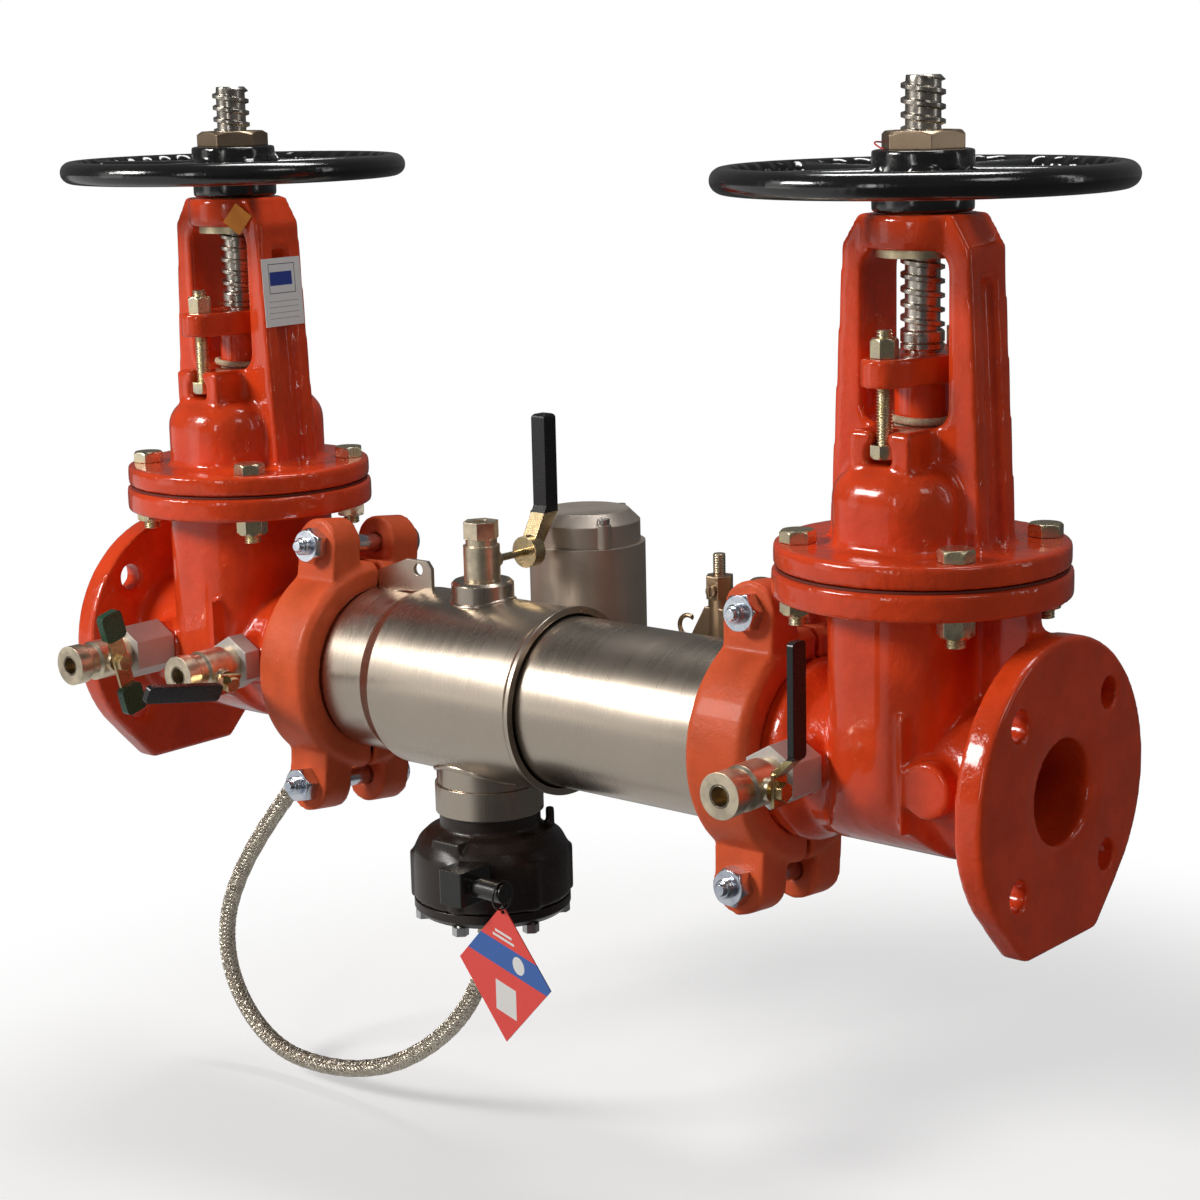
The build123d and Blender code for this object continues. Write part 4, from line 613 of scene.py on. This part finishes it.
def hexagon(flats, low, high, chamfer_low=0.0, chamfer_high=0.0, bore=0.0):
    """Hexagonal nut or head, its corners cut back by cones at either end."""
    corner = flats / math.sqrt(3)
    edge = flats / 2 * 0.99
    outline = [(bore, low)]
    outline += [(edge, low), (corner, low + chamfer_low)] if chamfer_low else [(corner, low)]
    outline += [(corner, (low + high) / 2)]
    for share in (0, 0.25, 0.5, 0.75, 1) if chamfer_high else (0,):
        outline.append((corner + (edge - corner) * share, high - chamfer_high * (1 - share)))
    outline += [(bore, high)]
    if bore:
        outline += [(bore, low)]
    bm = lathe(outline, 72)
    for vert in bm.verts:
        radius = math.hypot(vert.co.x, vert.co.y)
        if radius > bore + 1e-6:
            angle = math.atan2(vert.co.y, vert.co.x) % (math.pi / 3) - math.pi / 6
            limit = flats / 2 / math.cos(angle)
            if radius > limit:
                vert.co.x *= limit / radius
                vert.co.y *= limit / radius
    return bm


def threaded_bar(crest, root, pitch, low, high, chamfer=0.001, hand=1, steps=20, flat=0.24, slope=0.26):
    """Threaded bar cut square at both ends, its tip chamfered; flat and slope are shares of the pitch."""
    bm = bmesh.new()
    profile = [(root, 0.0), (root, flat), (crest, flat + slope), (crest, 1 - slope), (root, 1.0)]
    start = low - pitch
    turns = math.ceil((high - start) / pitch) + 1
    outline = [(radius, start + share * pitch) for radius, share in profile]
    spin(bm, outline, hand * FULL * turns, pitch / steps, steps * turns, False)
    bmesh.ops.remove_doubles(bm, verts=bm.verts, dist=pitch * 1e-3)
    for height, side in ((low, -1), (high, 1)):
        geometry = bm.verts[:] + bm.edges[:] + bm.faces[:]
        bmesh.ops.bisect_plane(
            bm, geom=geometry, dist=1e-7, plane_co=(0, 0, height), plane_no=(0, 0, side), clear_outer=True)
        rim = [edge for edge in bm.edges if edge.is_boundary and abs(edge.verts[0].co.z - height) < 1e-6]
        bmesh.ops.holes_fill(bm, edges=rim, sides=0)
    for vert in bm.verts:
        over = vert.co.z - (high - chamfer)
        radius = math.hypot(vert.co.x, vert.co.y)
        if over > 0 and radius > crest - over:
            vert.co.x *= (crest - over) / radius
            vert.co.y *= (crest - over) / radius
    return bm


def ring_of(bm, point, side, up, radius, sides):
    """Vertices round a point, in the plane of side and up."""
    return [bm.verts.new(point + (side * math.cos(a) + up * math.sin(a)) * radius) for a in circle(sides)]


def bridge(bm, first, second):
    """Faces from one ring to the next."""
    sides = len(first)
    for k in range(sides):
        bm.faces.new((first[k], first[(k + 1) % sides], second[(k + 1) % sides], second[k]))


def tube(points, radius, sides, closed=True):
    """Round tube along points."""
    bm = bmesh.new()
    count = len(points)
    rings = []
    side = None
    for index, point in enumerate(points):
        before = points[index - 1] if closed or index else point
        after = points[(index + 1) % count] if closed or index < count - 1 else point
        along = (after - before).normalized()
        guess = side or (Vector((0, 0, 1)) if abs(along.z) < 0.9 else Vector((1, 0, 0)))
        side = (guess - along * guess.dot(along)).normalized()
        up = along.cross(side)
        rings.append(ring_of(bm, point, side, up, radius, sides))
    for first, second in zip(rings, rings[1:]):
        bridge(bm, first, second)
    if closed:
        bridge(bm, rings[-1], rings[0])
    else:
        bm.faces.new(rings[0])
        bm.faces.new(rings[-1])
    return bm


def plate(size, matrix):
    """Thin box of a size, placed by a matrix."""
    bm = bmesh.new()
    bmesh.ops.create_cube(bm, size=1.0)
    bm.transform(matrix @ Matrix.Diagonal((*size, 1.0)))
    return bm


def join(parts):
    """One mesh out of several (mesh, placing matrix) pairs."""
    whole = bmesh.new()
    for bm, matrix in parts:
        bm.transform(matrix)
        mesh = as_mesh("part", bm)
        whole.from_mesh(mesh)
        bpy.data.meshes.remove(mesh)
    return whole


def at(x=0.0, y=0.0, z=0.0, turn=0, axis="X"):
    """Placing matrix: turn in degrees about an axis, then move."""
    return Matrix.Translation((x, y, z)) @ Matrix.Rotation(math.radians(turn), 4, axis)


def evaluated(piece):
    """Mesh of a piece or curve with its modifiers applied."""
    bpy.context.view_layer.update()
    graph = bpy.context.evaluated_depsgraph_get()
    return bpy.data.meshes.new_from_object(piece.evaluated_get(graph))


def cast_piece(node, slot, voxel, passes=3, shape=None):
    """Sand cast look: the node's form remeshed evenly and softened, so that edges and corners run round."""
    name = node + "_raw"
    raw = placed(name, as_mesh(name, node_mesh(node)))
    remesh = raw.modifiers.new("Even", "REMESH")
    remesh.mode = "VOXEL"
    remesh.voxel_size = voxel * 1.0
    result = evaluated(raw)
    bpy.data.objects.remove(raw)
    bm = bmesh.new()
    bm.from_mesh(result)
    bpy.data.meshes.remove(result)
    if shape:
        shape(bm)
    axes = {f"use_axis_{letter}": True for letter in "xyz"}
    for _ in range(passes):
        bmesh.ops.smooth_vert(bm, verts=bm.verts, factor=0.5, **axes)
    finish_mesh(node + "_cast", bm, slot, 60, body_of(node), (node,))


def body_of(node):
    """Body that a node rides on."""
    for body, members in frame["record"]["behaviour"]["bodies"].items():
        if node in members:
            return body
    raise RuntimeError(f"no body for {node}")


# Settings


def colour_setting(name, description, default):
    return FloatVectorProperty(name=name, description=description, subtype="COLOR", default=default)


def length_setting(name, description, default):
    return FloatProperty(name=name, description=description, unit="LENGTH", default=default)


def angle_setting(name, description, default):
    return FloatProperty(name=name, description=description, subtype="ANGLE", default=default)


class ValveSettings(bpy.types.PropertyGroup):
    """Colours and thread of the gate valves."""

    paint: colour_setting("Valve paint", "Epoxy colour of the valve castings", (0.80, 0.061, 0.010))
    coupling: colour_setting("Coupling paint", "Paint colour of the pipe couplings", (0.77, 0.114, 0.035))
    wheel: colour_setting("Wheel paint", "Paint colour of the handwheels", (0.004, 0.004, 0.004))
    pitch: length_setting("Stem pitch", "Rise of the stem in one turn of the wheel", 0.0082)
    grain: length_setting("Casting grain", "Edge of the cubes that castings are remeshed from", 0.0019)


class HoseSettings(bpy.types.PropertyGroup):
    """Braided sensing hose."""

    radius: length_setting("Radius", "Outer radius of the hose over its braid", 0.0066)
    carriers: IntProperty(
        name="Bundles each way", description="Wire bundles that run each way round the hose", default=9)
    lead: length_setting("Lead", "Length of hose in one turn of a bundle", 0.034)


class StageSettings(bpy.types.PropertyGroup):
    """Camera and light."""

    camera: FloatVectorProperty(
        name="Camera place", description="Where the camera stands", subtype="TRANSLATION", unit="LENGTH",
        default=(1.498466, -1.246947, 0.414724))
    azimuth: angle_setting("Azimuth", "Turn of the view about the upright", 0.707)
    pitch: angle_setting("Pitch", "How far the camera looks down", 0.206)
    roll: angle_setting("Roll", "Tilt of the camera about its own axis", -0.023)
    lens: FloatProperty(name="Lens", description="Focal length on a sensor 36 mm wide", default=76.861)
    light: FloatProperty(name="Light", description="Strength of the lamps as a factor", default=1.0)


# Operators


class Piece:
    """What every operator of this file shares."""

    bl_options = {"REGISTER", "UNDO"}

    def execute(self, context):
        self.make(context.scene)
        return {"FINISHED"}


class VALVE_OT_finishes(Piece, bpy.types.Operator):
    """Write every finish and give it to the pieces that carry it"""

    bl_idname = "valve.finishes"
    bl_label = "Finishes"

    def make(self, scene):
        settings = scene.valve_settings
        finishes(tuple(settings.paint), tuple(settings.coupling), tuple(settings.wheel))
        for entry in frame["record"]["subparts"]:
            node = frame["nodes"][entry["node"]]
            node.data.materials.clear()
            node.data.materials.append(bpy.data.materials[entry["material_slot"]])


class VALVE_OT_castings(Piece, bpy.types.Operator):
    """Valve bodies, bonnets, glands and couplings with the soft edges of castings"""

    bl_idname = "valve.castings"
    bl_label = "Castings"

    def make(self, scene):
        grain = scene.valve_settings.grain
        for valve in ("inlet", "outlet"):
            cast_piece(f"{valve}_valve_body", "valve_paint", grain, passes=4)
            cast_piece(f"{valve}_bonnet", "valve_paint", grain, passes=4)
            cast_piece(f"{valve}_gland", "valve_paint", grain * 0.6)
            for half in ("front", "rear"):
                cast_piece(f"{valve}_coupling_{half}", "coupling_paint", grain * 0.85)
        cast_piece("relief_housing", "relief_black", grain * 0.75)


def scallop(centre, waves, depth, inner, outer):
    """Waves for the fingers along the inner edge of a rim."""

    def shape(bm):
        half_way = (inner + outer) / 2
        for vert in bm.verts:
            x, y = vert.co.x - centre[0], vert.co.y - centre[1]
            radius = math.hypot(x, y)
            if radius > inner:
                wave = (1 - math.cos(waves * math.atan2(y, x))) / 2
                inward = max(0.0, (half_way - radius) / (half_way - inner))
                factor = 1 + depth * wave * min(1.0, 1.4 * inward) / radius
                vert.co.x = centre[0] + x * factor
                vert.co.y = centre[1] + y * factor

    return shape


class VALVE_OT_handwheels(Piece, bpy.types.Operator):
    """Handwheels with finger waves on the rim"""

    bl_idname = "valve.handwheels"
    bl_label = "Handwheels"

    def make(self, scene):
        for valve, x in STEMS.items():
            low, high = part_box(f"{valve}_handwheel")
            outer = (high[0] - low[0]) / 2
            shape = scallop((x, 0), waves=46, depth=0.0024, inner=outer - 0.0168, outer=outer)
            cast_piece(f"{valve}_handwheel", "black_paint", 0.0016, shape=shape)


class VALVE_OT_stems(Piece, bpy.types.Operator):
    """Rising stems with their left-hand thread, and the nuts on the wheels"""

    bl_idname = "valve.stems"
    bl_label = "Stems"

    def make(self, scene):
        pitch = scene.valve_settings.pitch
        low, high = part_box("inlet_stem")
        crest = (high[0] - low[0]) / 2
        root, shank, button, foot = 0.0103, 0.00965, 0.0125, 0.2496
        for valve, x in STEMS.items():
            thread = threaded_bar(
                crest, root, pitch, foot + 0.009, STEM_TIP, 0.003, hand=-1, steps=40, flat=0.52, slope=0.10)
            collar = lathe([
                (0, foot), (crest - 0.0008, foot), (crest, foot + 0.0008), (crest, foot + 0.0035),
                (crest - 0.0012, foot + 0.0042), (crest, foot + 0.0049), (crest, foot + 0.0105),
                (crest - 0.0012, foot + 0.0117), (0, foot + 0.0117),
            ])
            bar = lathe([
                (0, low[2]), (button, low[2]), (button, low[2] + 0.006), (shank, low[2] + 0.006),
                (shank, foot + 0.002), (0, foot + 0.002),
            ])
            place = at(x)
            bm = join([(thread, place), (collar, place), (bar, place)])
            finish_mesh(f"{valve}_stem_threaded", bm, "stem_steel", 38, f"{valve}_gate", (f"{valve}_stem",))
            self.nut(valve, x)

    def nut(self, valve, x):
        """Wheel nut with its crown cut back and its bore open round the stem."""
        low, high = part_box(f"{valve}_wheel_nut")
        bm = hexagon(high[1] - low[1], low[2], high[2], chamfer_high=0.0022, bore=0.01705)
        bm.transform(at(x, turn=14 if valve == "outlet" else -8, axis="Z"))
        finish_mesh(f"{valve}_wheel_nut_hex", bm, "bronze", 30, f"{valve}_wheel", (f"{valve}_wheel_nut",))


class VALVE_OT_fasteners(Piece, bpy.types.Operator):
    """Bolts, studs and nuts with their threads and chamfers"""

    bl_idname = "valve.fasteners"
    bl_label = "Fasteners"

    def make(self, scene):
        self.bonnet_bolts()
        self.gland_bolts()
        self.coupling_bolts()

    def bonnet_bolts(self):
        """Bolts down through bonnet and body flange, each turned by itself, and their nuts below."""
        top, bottom, flats, radius = 0.1383, 0.1056, 0.019, 0.006
        root, pitch, thread_end = radius - 0.0009, 0.00175, 0.1125
        reach_x, reach_y = 0.0545, 0.0485
        parts = []
        turn = 7
        for x in STEMS.values():
            for side_x in (-reach_x, reach_x):
                for side_y in (-reach_y, reach_y):
                    place = at(x + side_x, side_y, 0, turn, "Z")
                    turn += 23
                    parts += [(bm, place) for bm in (
                        hexagon(flats, top, top + 0.0075, chamfer_high=0.0016),
                        rod(radius, 0.112, top, 32),
                        threaded_bar(radius, root, pitch, bottom - 0.0165, thread_end),
                        hexagon(flats, bottom - 0.0105, bottom, chamfer_low=0.0014),
                    )]
        finish_mesh("bonnet_bolts_cut", join(parts), "yellow_zinc", 30, "valve_train", ("bonnet_bolts",))

    def gland_bolts(self):
        """Bolts that stand in the bonnet's pockets, and the nuts that press the gland down."""
        head, top, flats, radius, pitch = 0.199, GLAND_TOP, 0.0145, 0.0048, 0.0018
        root = radius - 0.00085
        parts = []
        turn = 11
        for x in STEMS.values():
            for y in (-0.039, 0.039):
                place = at(x, y, 0, turn, "Z")
                turn += 17
                parts += [(bm, place) for bm in (
                    hexagon(flats, head - 0.0081, head - 0.0001, chamfer_low=0.0014),
                    threaded_bar(radius, root, pitch, head - 0.001, top + 0.016),
                    hexagon(flats, top + 0.0001, top + 0.0115, chamfer_high=0.0015),
                )]
        finish_mesh("gland_bolts_cut", join(parts), "yellow_zinc", 30, "valve_train", ("gland_bolts",))

    def coupling_bolts(self):
        """Bolts through the ears above and below the pipe, each with its thinner tip."""
        face, flats, radius = 0.0421, 0.022, 0.0063
        root, pitch, tip_radius = radius - 0.001, 0.002, 0.0042
        tip = face + 0.019
        tip_outline = [
            (0, tip - 0.004), (tip_radius, tip - 0.004), (tip_radius, tip - 0.001),
            (tip_radius - 0.0008, tip), (0, tip),
        ]
        parts = []
        turn = 12
        for valve, roll in COUPLING_ROLLS.items():
            x = middle(f"{valve}_coupling_front")
            for z in (-0.085, 0.085):
                place = at(x, turn=roll) @ at(0, 0, z, 90) @ at(turn=turn, axis="Z")
                turn += 19
                parts += [(bm, place) for bm in (
                    hexagon(flats, face, face + 0.0105, chamfer_high=0.002),
                    threaded_bar(radius, root, pitch, face - 0.002, tip - 0.003, chamfer=0.0012),
                    lathe(tip_outline, 24),
                    rod(radius, -face, face - 0.001),
                    hexagon(flats, -face - 0.009, -face, chamfer_low=0.0018),
                )]
        finish_mesh("coupling_bolts_cut", join(parts), "silver_zinc", 30, "valve_train", ("coupling_bolts",))


class VALVE_OT_trim(Piece, bpy.types.Operator):
    """Welds, packing rope, labels, seal and the thread of the small cock"""

    bl_idname = "valve.trim"
    bl_label = "Trim"

    def make(self, scene):
        self.welds()
        self.ropes()
        self.labels()
        thread = threaded_bar(
            crest=0.0044, root=0.00405, pitch=0.0017, low=0.0735, high=0.0871, chamfer=0.0006)
        place = at(middle("bypass_cock_stem"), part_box("bypass_cock_stem")[1][1])
        finish_mesh("bypass_stub_thread", join([(thread, place)]), "fitting_brass", 30, "valve_train")

    def welds(self):
        """Beads round the cock boss and the relief neck, where they meet the shell."""
        shell = 0.062
        parts = []
        for radius, side, bead in ((0.0214, 1, 0.0016), (0.036, -1, 0.0022)):
            points = []
            for angle in circle(96):
                y = radius * math.sin(angle)
                x, z = RELIEF_X + radius * math.cos(angle), side * math.sqrt(shell**2 - y**2)
                points.append(Vector((x, y, z)))
            parts.append((tube(points, bead, 10), at()))
        finish_mesh("weld_beads", join(parts), "stainless", 50, "valve_train")

    def ropes(self):
        """Packing rope that shows round the gland's nose on top of the stuffing box."""
        radius, height, wave, thickness = 0.0187, 0.2101, 0.0008, 0.0023
        points = [
            Vector((radius * math.cos(a), radius * math.sin(a), height + wave * math.sin(a * 2)))
            for a in circle(60)
        ]
        parts = [(tube(points, thickness, 10), at(x)) for x in STEMS.values()]
        finish_mesh("packing_ropes", join(parts), "packing_cord", 60, "valve_train")

    def labels(self):
        """Bare label and plain sticker on the inlet yoke, and a seal strip on the outlet wheel."""
        thickness, yoke_reach, yoke_foot, yoke_rise, yoke_draw = 0.0003, 0.053, 0.1372, 0.1628, 0.009
        low, high = LABEL_BOX
        lean = math.atan2(yoke_draw, yoke_rise)
        middle_z = (low[2] + high[2]) / 2
        x = STEMS["inlet"] + yoke_reach - (middle_z - yoke_foot) * math.tan(lean) + thickness
        place = at(x, (low[1] + high[1]) / 2, middle_z) @ Matrix.Rotation(-lean, 4, "Y")
        bm = plate((thickness, high[1] - low[1], high[2] - low[2]), place)
        finish_mesh("yoke_label", bm, "label_white", 30, "valve_train")
        place = at(STEMS["inlet"] + 0.0285, -0.0246, 0.3140, 25, "Z") @ at(turn=38, axis="Y")
        bm = plate((0.0150, thickness, 0.0165), place)
        finish_mesh("yoke_sticker", bm, "sticker_orange", 30, "valve_train")
        radius, height, rise, start, sweep, last = 0.0275, 0.3644, 0.0035, 150, 100, 39
        points = []
        for index in range(last + 1):
            angle = math.radians(start + sweep * index / last)
            x, y = STEMS["outlet"] + radius * math.cos(angle), radius * math.sin(angle)
            points.append(Vector((x, y, height + rise * math.sin(math.pi * index / last))))
        finish_mesh("wheel_seal", tube(points, 0.0005, 8, False), "seal_red", 60, "outlet_wheel")


class VALVE_OT_hose(Piece, bpy.types.Operator):
    """Braided sensing hose on its one smooth line"""

    bl_idname = "valve.hose"
    bl_label = "Sensing hose"

    def make(self, scene):
        settings = scene.hose_settings
        points = self.line()
        frames = self.frames(points)
        bm = bmesh.new()
        layer = bm.loops.layers.uv.new("wires")
        self.core(bm, frames, settings.radius - 0.0009)
        count = settings.carriers
        for hand in (-1, 1):
            for index in range(count):
                self.bundle(bm, layer, frames, settings, hand, index * FULL / count)
        piece = dress("sensing_hose_braid", bm, "hose_braid", 40, "valve_train", ("sensing_hose",))

    def line(self):
        """Points along the route's smooth spline."""
        curve = bpy.data.curves.new("hose_line", "CURVE")
        curve.dimensions = "3D"
        curve.resolution_u = 24
        spline = curve.splines.new("NURBS")
        spline.points.add(len(HOSE_ROUTE) - 1)
        for point, place in zip(spline.points, HOSE_ROUTE):
            point.co = (*place, 1.0)
        spline.order_u = 3
        spline.use_endpoint_u = True
        holder = placed("hose_line", curve)
        mesh = evaluated(holder)
        points = [vert.co.copy() for vert in mesh.vertices]
        bpy.data.objects.remove(holder)
        bpy.data.meshes.remove(mesh)
        return points

    def frames(self, points):
        """Place, side and up at each point, with the length so far."""
        result = []
        run = 0.0
        for index, point in enumerate(points):
            before, after = points[max(index - 1, 0)], points[min(index + 1, len(points) - 1)]
            if index:
                run += (point - points[index - 1]).length
            along = (after - before).normalized()
            side = Vector((0, 1, 0))
            result.append((point, side, along.cross(side).normalized(), run))
        return result

    def core(self, bm, frames, radius):
        """Plain tube under the braid."""
        rings = [ring_of(bm, point, side, up, radius, 24) for point, side, up, _ in frames]
        bm.faces.new(rings[0])
        for first, second in zip(rings, rings[1:]):
            bridge(bm, first, second)
        bm.faces.new(reversed(rings[-1]))

    def bundle(self, bm, layer, frames, settings, hand, phase):
        """One flat bundle of wires, over and under the ones that cross it."""
        width = FULL / settings.carriers * 0.42
        depth, lift = 0.00095, 0.00038
        section = None
        for point, side, up, run in frames:
            turns = FULL * run / settings.lead
            turn = phase + hand * turns
            weave = math.cos(settings.carriers * turns + (0 if hand > 0 else math.pi))
            base = settings.radius - depth + lift * weave
            verts = []
            for share, crown in ((-1, 0.0), (-0.6, 0.0005), (0.6, 0.0005), (1, 0.0)):
                angle = turn + width * share
                out = side * math.cos(angle) + up * math.sin(angle)
                verts.append(bm.verts.new(point + out * (base + crown)))
            if section:
                for k, (a, b) in enumerate(((0.0, 0.2), (0.2, 0.8), (0.8, 1.0), (0.0, 1.0))):
                    ends = (section[k], section[(k + 1) % 4], verts[(k + 1) % 4], verts[k])
                    face = bm.faces.new(ends if hand > 0 else reversed(ends))
                    marks = {section[k]: a, section[(k + 1) % 4]: b, verts[(k + 1) % 4]: b, verts[k]: a}
                    for loop in face.loops:
                        loop[layer].uv = (marks[loop.vert], run * 100)
            section = verts


class VALVE_OT_stage(Piece, bpy.types.Operator):
    """Floor, lamps, surroundings and camera"""

    bl_idname = "valve.stage"
    bl_label = "Stage"
    IN_METAL = 0.06
    FLOOR_IN_METAL = 0.55
    # Name, place, aim, size, watts and colour
    LAMPS = (
        ("key", (-1.05, -2.15, 1.5), (0.35, 0, 0.1), (0.9, 0.7), 60, (1.0, 0.98, 0.95)),
        ("panel", (-1.35, -1.9, 0.42), (0.35, 0, 0.1), (0.9, 1.3), 3.2, (1.0, 0.98, 0.95)),
        ("front", (1.0, -2.6, 0.7), (0.4, 0, 0.1), (0.25, 1.0), 5, (1.0, 0.98, 0.96)),
        ("side", (1.9, -0.35, 1.35), (0.7, 0, 0.28), (0.45, 0.45), 2.5, (1.0, 0.99, 0.97)),
        ("strip", (2.1, 0.75, 0.75), (0.5, 0, 0.1), (0.10, 1.3), 1.6, (0.97, 0.98, 1.0)),
        ("top", (0.3, 0.5, 2.1), (0.4, 0, 0.1), (1.4, 0.45), 26, (1.0, 1.0, 1.0)),
    )

    def make(self, scene):
        settings = scene.stage_settings
        scene.view_settings.view_transform = "Standard"
        self.floor()
        self.world(scene)
        for name, place, aim, size, power, colour in self.LAMPS:
            self.lamp(name, place, aim, size, power * settings.light, colour)
        self.camera(scene, settings)

    def floor(self):
        """White floor with shadows near the object; metal sees it dim, but bright before the inlet side."""
        gap, half_side, least_white, bounce_grey = 0.012, 9, 0.42, (0.40, 0.40, 0.40)
        bm = bmesh.new()
        bmesh.ops.create_grid(bm, x_segments=1, y_segments=1, size=half_side)
        bm.transform(at(0.4, 0, cad_box[0][2] - gap))
        mesh = as_mesh("floor", bm)
        shader = Shader("floor")
        across, along = shader.axis("X"), shader.axis("Y")
        x, y = across - 0.45, along - 0.10
        far = (x * x + y * y).step(0.12, 0.65)
        near = (along.step(0.25, 0.55) * -1 + 1) * (across.step(0.30, 0.70) * -1 + 1)
        direct, glossy = shader.seen()
        lit, bounced = (
            shader.node("ShaderNodeBsdfDiffuse", {}, {"Color": colour4(grey), "Roughness": 1.0})
            for grey in ((0.93, 0.93, 0.93), bounce_grey)
        )
        white = shader.white(1.0)
        soft = shader.blend(near, shader.white(self.IN_METAL), shader.white(self.FLOOR_IN_METAL))
        mixed = shader.blend(direct * (far * (1 - least_white) + least_white), lit, white)
        mixed = shader.blend(glossy, mixed, soft)
        mixed = shader.blend(shader.node("ShaderNodeLightPath", {}, {}, "Is Diffuse Ray"), mixed, bounced)
        shader.node("ShaderNodeOutputMaterial", {}, {"Surface": mixed})
        mesh.materials.append(shader.material)
        placed("floor", mesh)

    def world(self, scene):
        """White for camera and glass, a part of it for reflections, and dim bluish light for the rest."""
        scene.world = bpy.data.worlds.new("studio")
        shader = Shader("studio", scene.world)
        direct, glossy = shader.seen()
        seen = direct.maths("MAXIMUM", direct, glossy * self.IN_METAL)
        dim, white = (
            shader.node("ShaderNodeBackground", {}, {"Color": colour4(colour), "Strength": strength})
            for colour, strength in (((0.92, 0.94, 1.0), 0.035), (WHITE, 1.0))
        )
        shader.node("ShaderNodeOutputWorld", {}, {"Surface": shader.blend(seen, dim, white)})

    def lamp(self, name, place, aim, size, power, colour):
        light = bpy.data.lights.new(name, "AREA")
        light.shape = "RECTANGLE"
        light.size, light.size_y = size
        light.energy = power
        light.color = colour
        direction = Vector(aim) - Vector(place)
        turn = direction.to_track_quat("-Z", "Y").to_matrix().to_4x4()
        placed(name, light).matrix_world = Matrix.Translation(place) @ turn

    def camera(self, scene, settings):
        azimuth, pitch, roll = settings.azimuth, settings.pitch, settings.roll
        ahead = math.cos(pitch)
        forward = Vector((-math.sin(azimuth) * ahead, math.cos(azimuth) * ahead, -math.sin(pitch)))
        level = Vector((math.cos(azimuth), math.sin(azimuth), 0))
        upright = level.cross(forward)
        right = level * math.cos(roll) + upright * math.sin(roll)
        up = upright * math.cos(roll) - level * math.sin(roll)
        data = bpy.data.cameras.new("camera")
        data.sensor_fit = "HORIZONTAL"
        data.sensor_width = 36
        data.lens = settings.lens
        data.clip_end = 30
        turn = Matrix((right, up, -forward)).transposed().to_4x4()
        scene.camera = placed("camera", data)
        scene.camera.matrix_world = Matrix.Translation(settings.camera) @ turn


class VALVE_PT_panel(bpy.types.Panel):
    """Every step of the model, in the order in which it is made"""

    bl_idname = "VALVE_PT_panel"
    bl_label = "Backflow preventer"
    bl_space_type = "VIEW_3D"
    bl_region_type = "UI"
    bl_category = "Valve"

    def draw(self, context):
        for step in STEPS:
            self.layout.operator(step.bl_idname)
        for group in GROUPS:
            settings = getattr(context.scene, group)
            for key in type(settings).__annotations__:
                self.layout.prop(settings, key)


STEPS = (
    VALVE_OT_finishes,
    VALVE_OT_stage,
    VALVE_OT_hose,
    VALVE_OT_castings,
    VALVE_OT_handwheels,
    VALVE_OT_stems,
    VALVE_OT_fasteners,
    VALVE_OT_trim,
)
GROUPS = {"valve_settings": ValveSettings, "hose_settings": HoseSettings, "stage_settings": StageSettings}
CLASSES = (*GROUPS.values(), *STEPS, VALVE_PT_panel)


def register():
    for item in CLASSES:
        bpy.utils.register_class(item)
    for name, group in GROUPS.items():
        setattr(bpy.types.Scene, name, PointerProperty(type=group))


def unregister():
    for name in GROUPS:
        delattr(bpy.types.Scene, name)
    for item in reversed(CLASSES):
        bpy.utils.unregister_class(item)


def main():
    register()
    for step in STEPS:
        group, name = step.bl_idname.split(".")
        getattr(getattr(bpy.ops, group), name)()


if __name__ == "__main__":
    main()
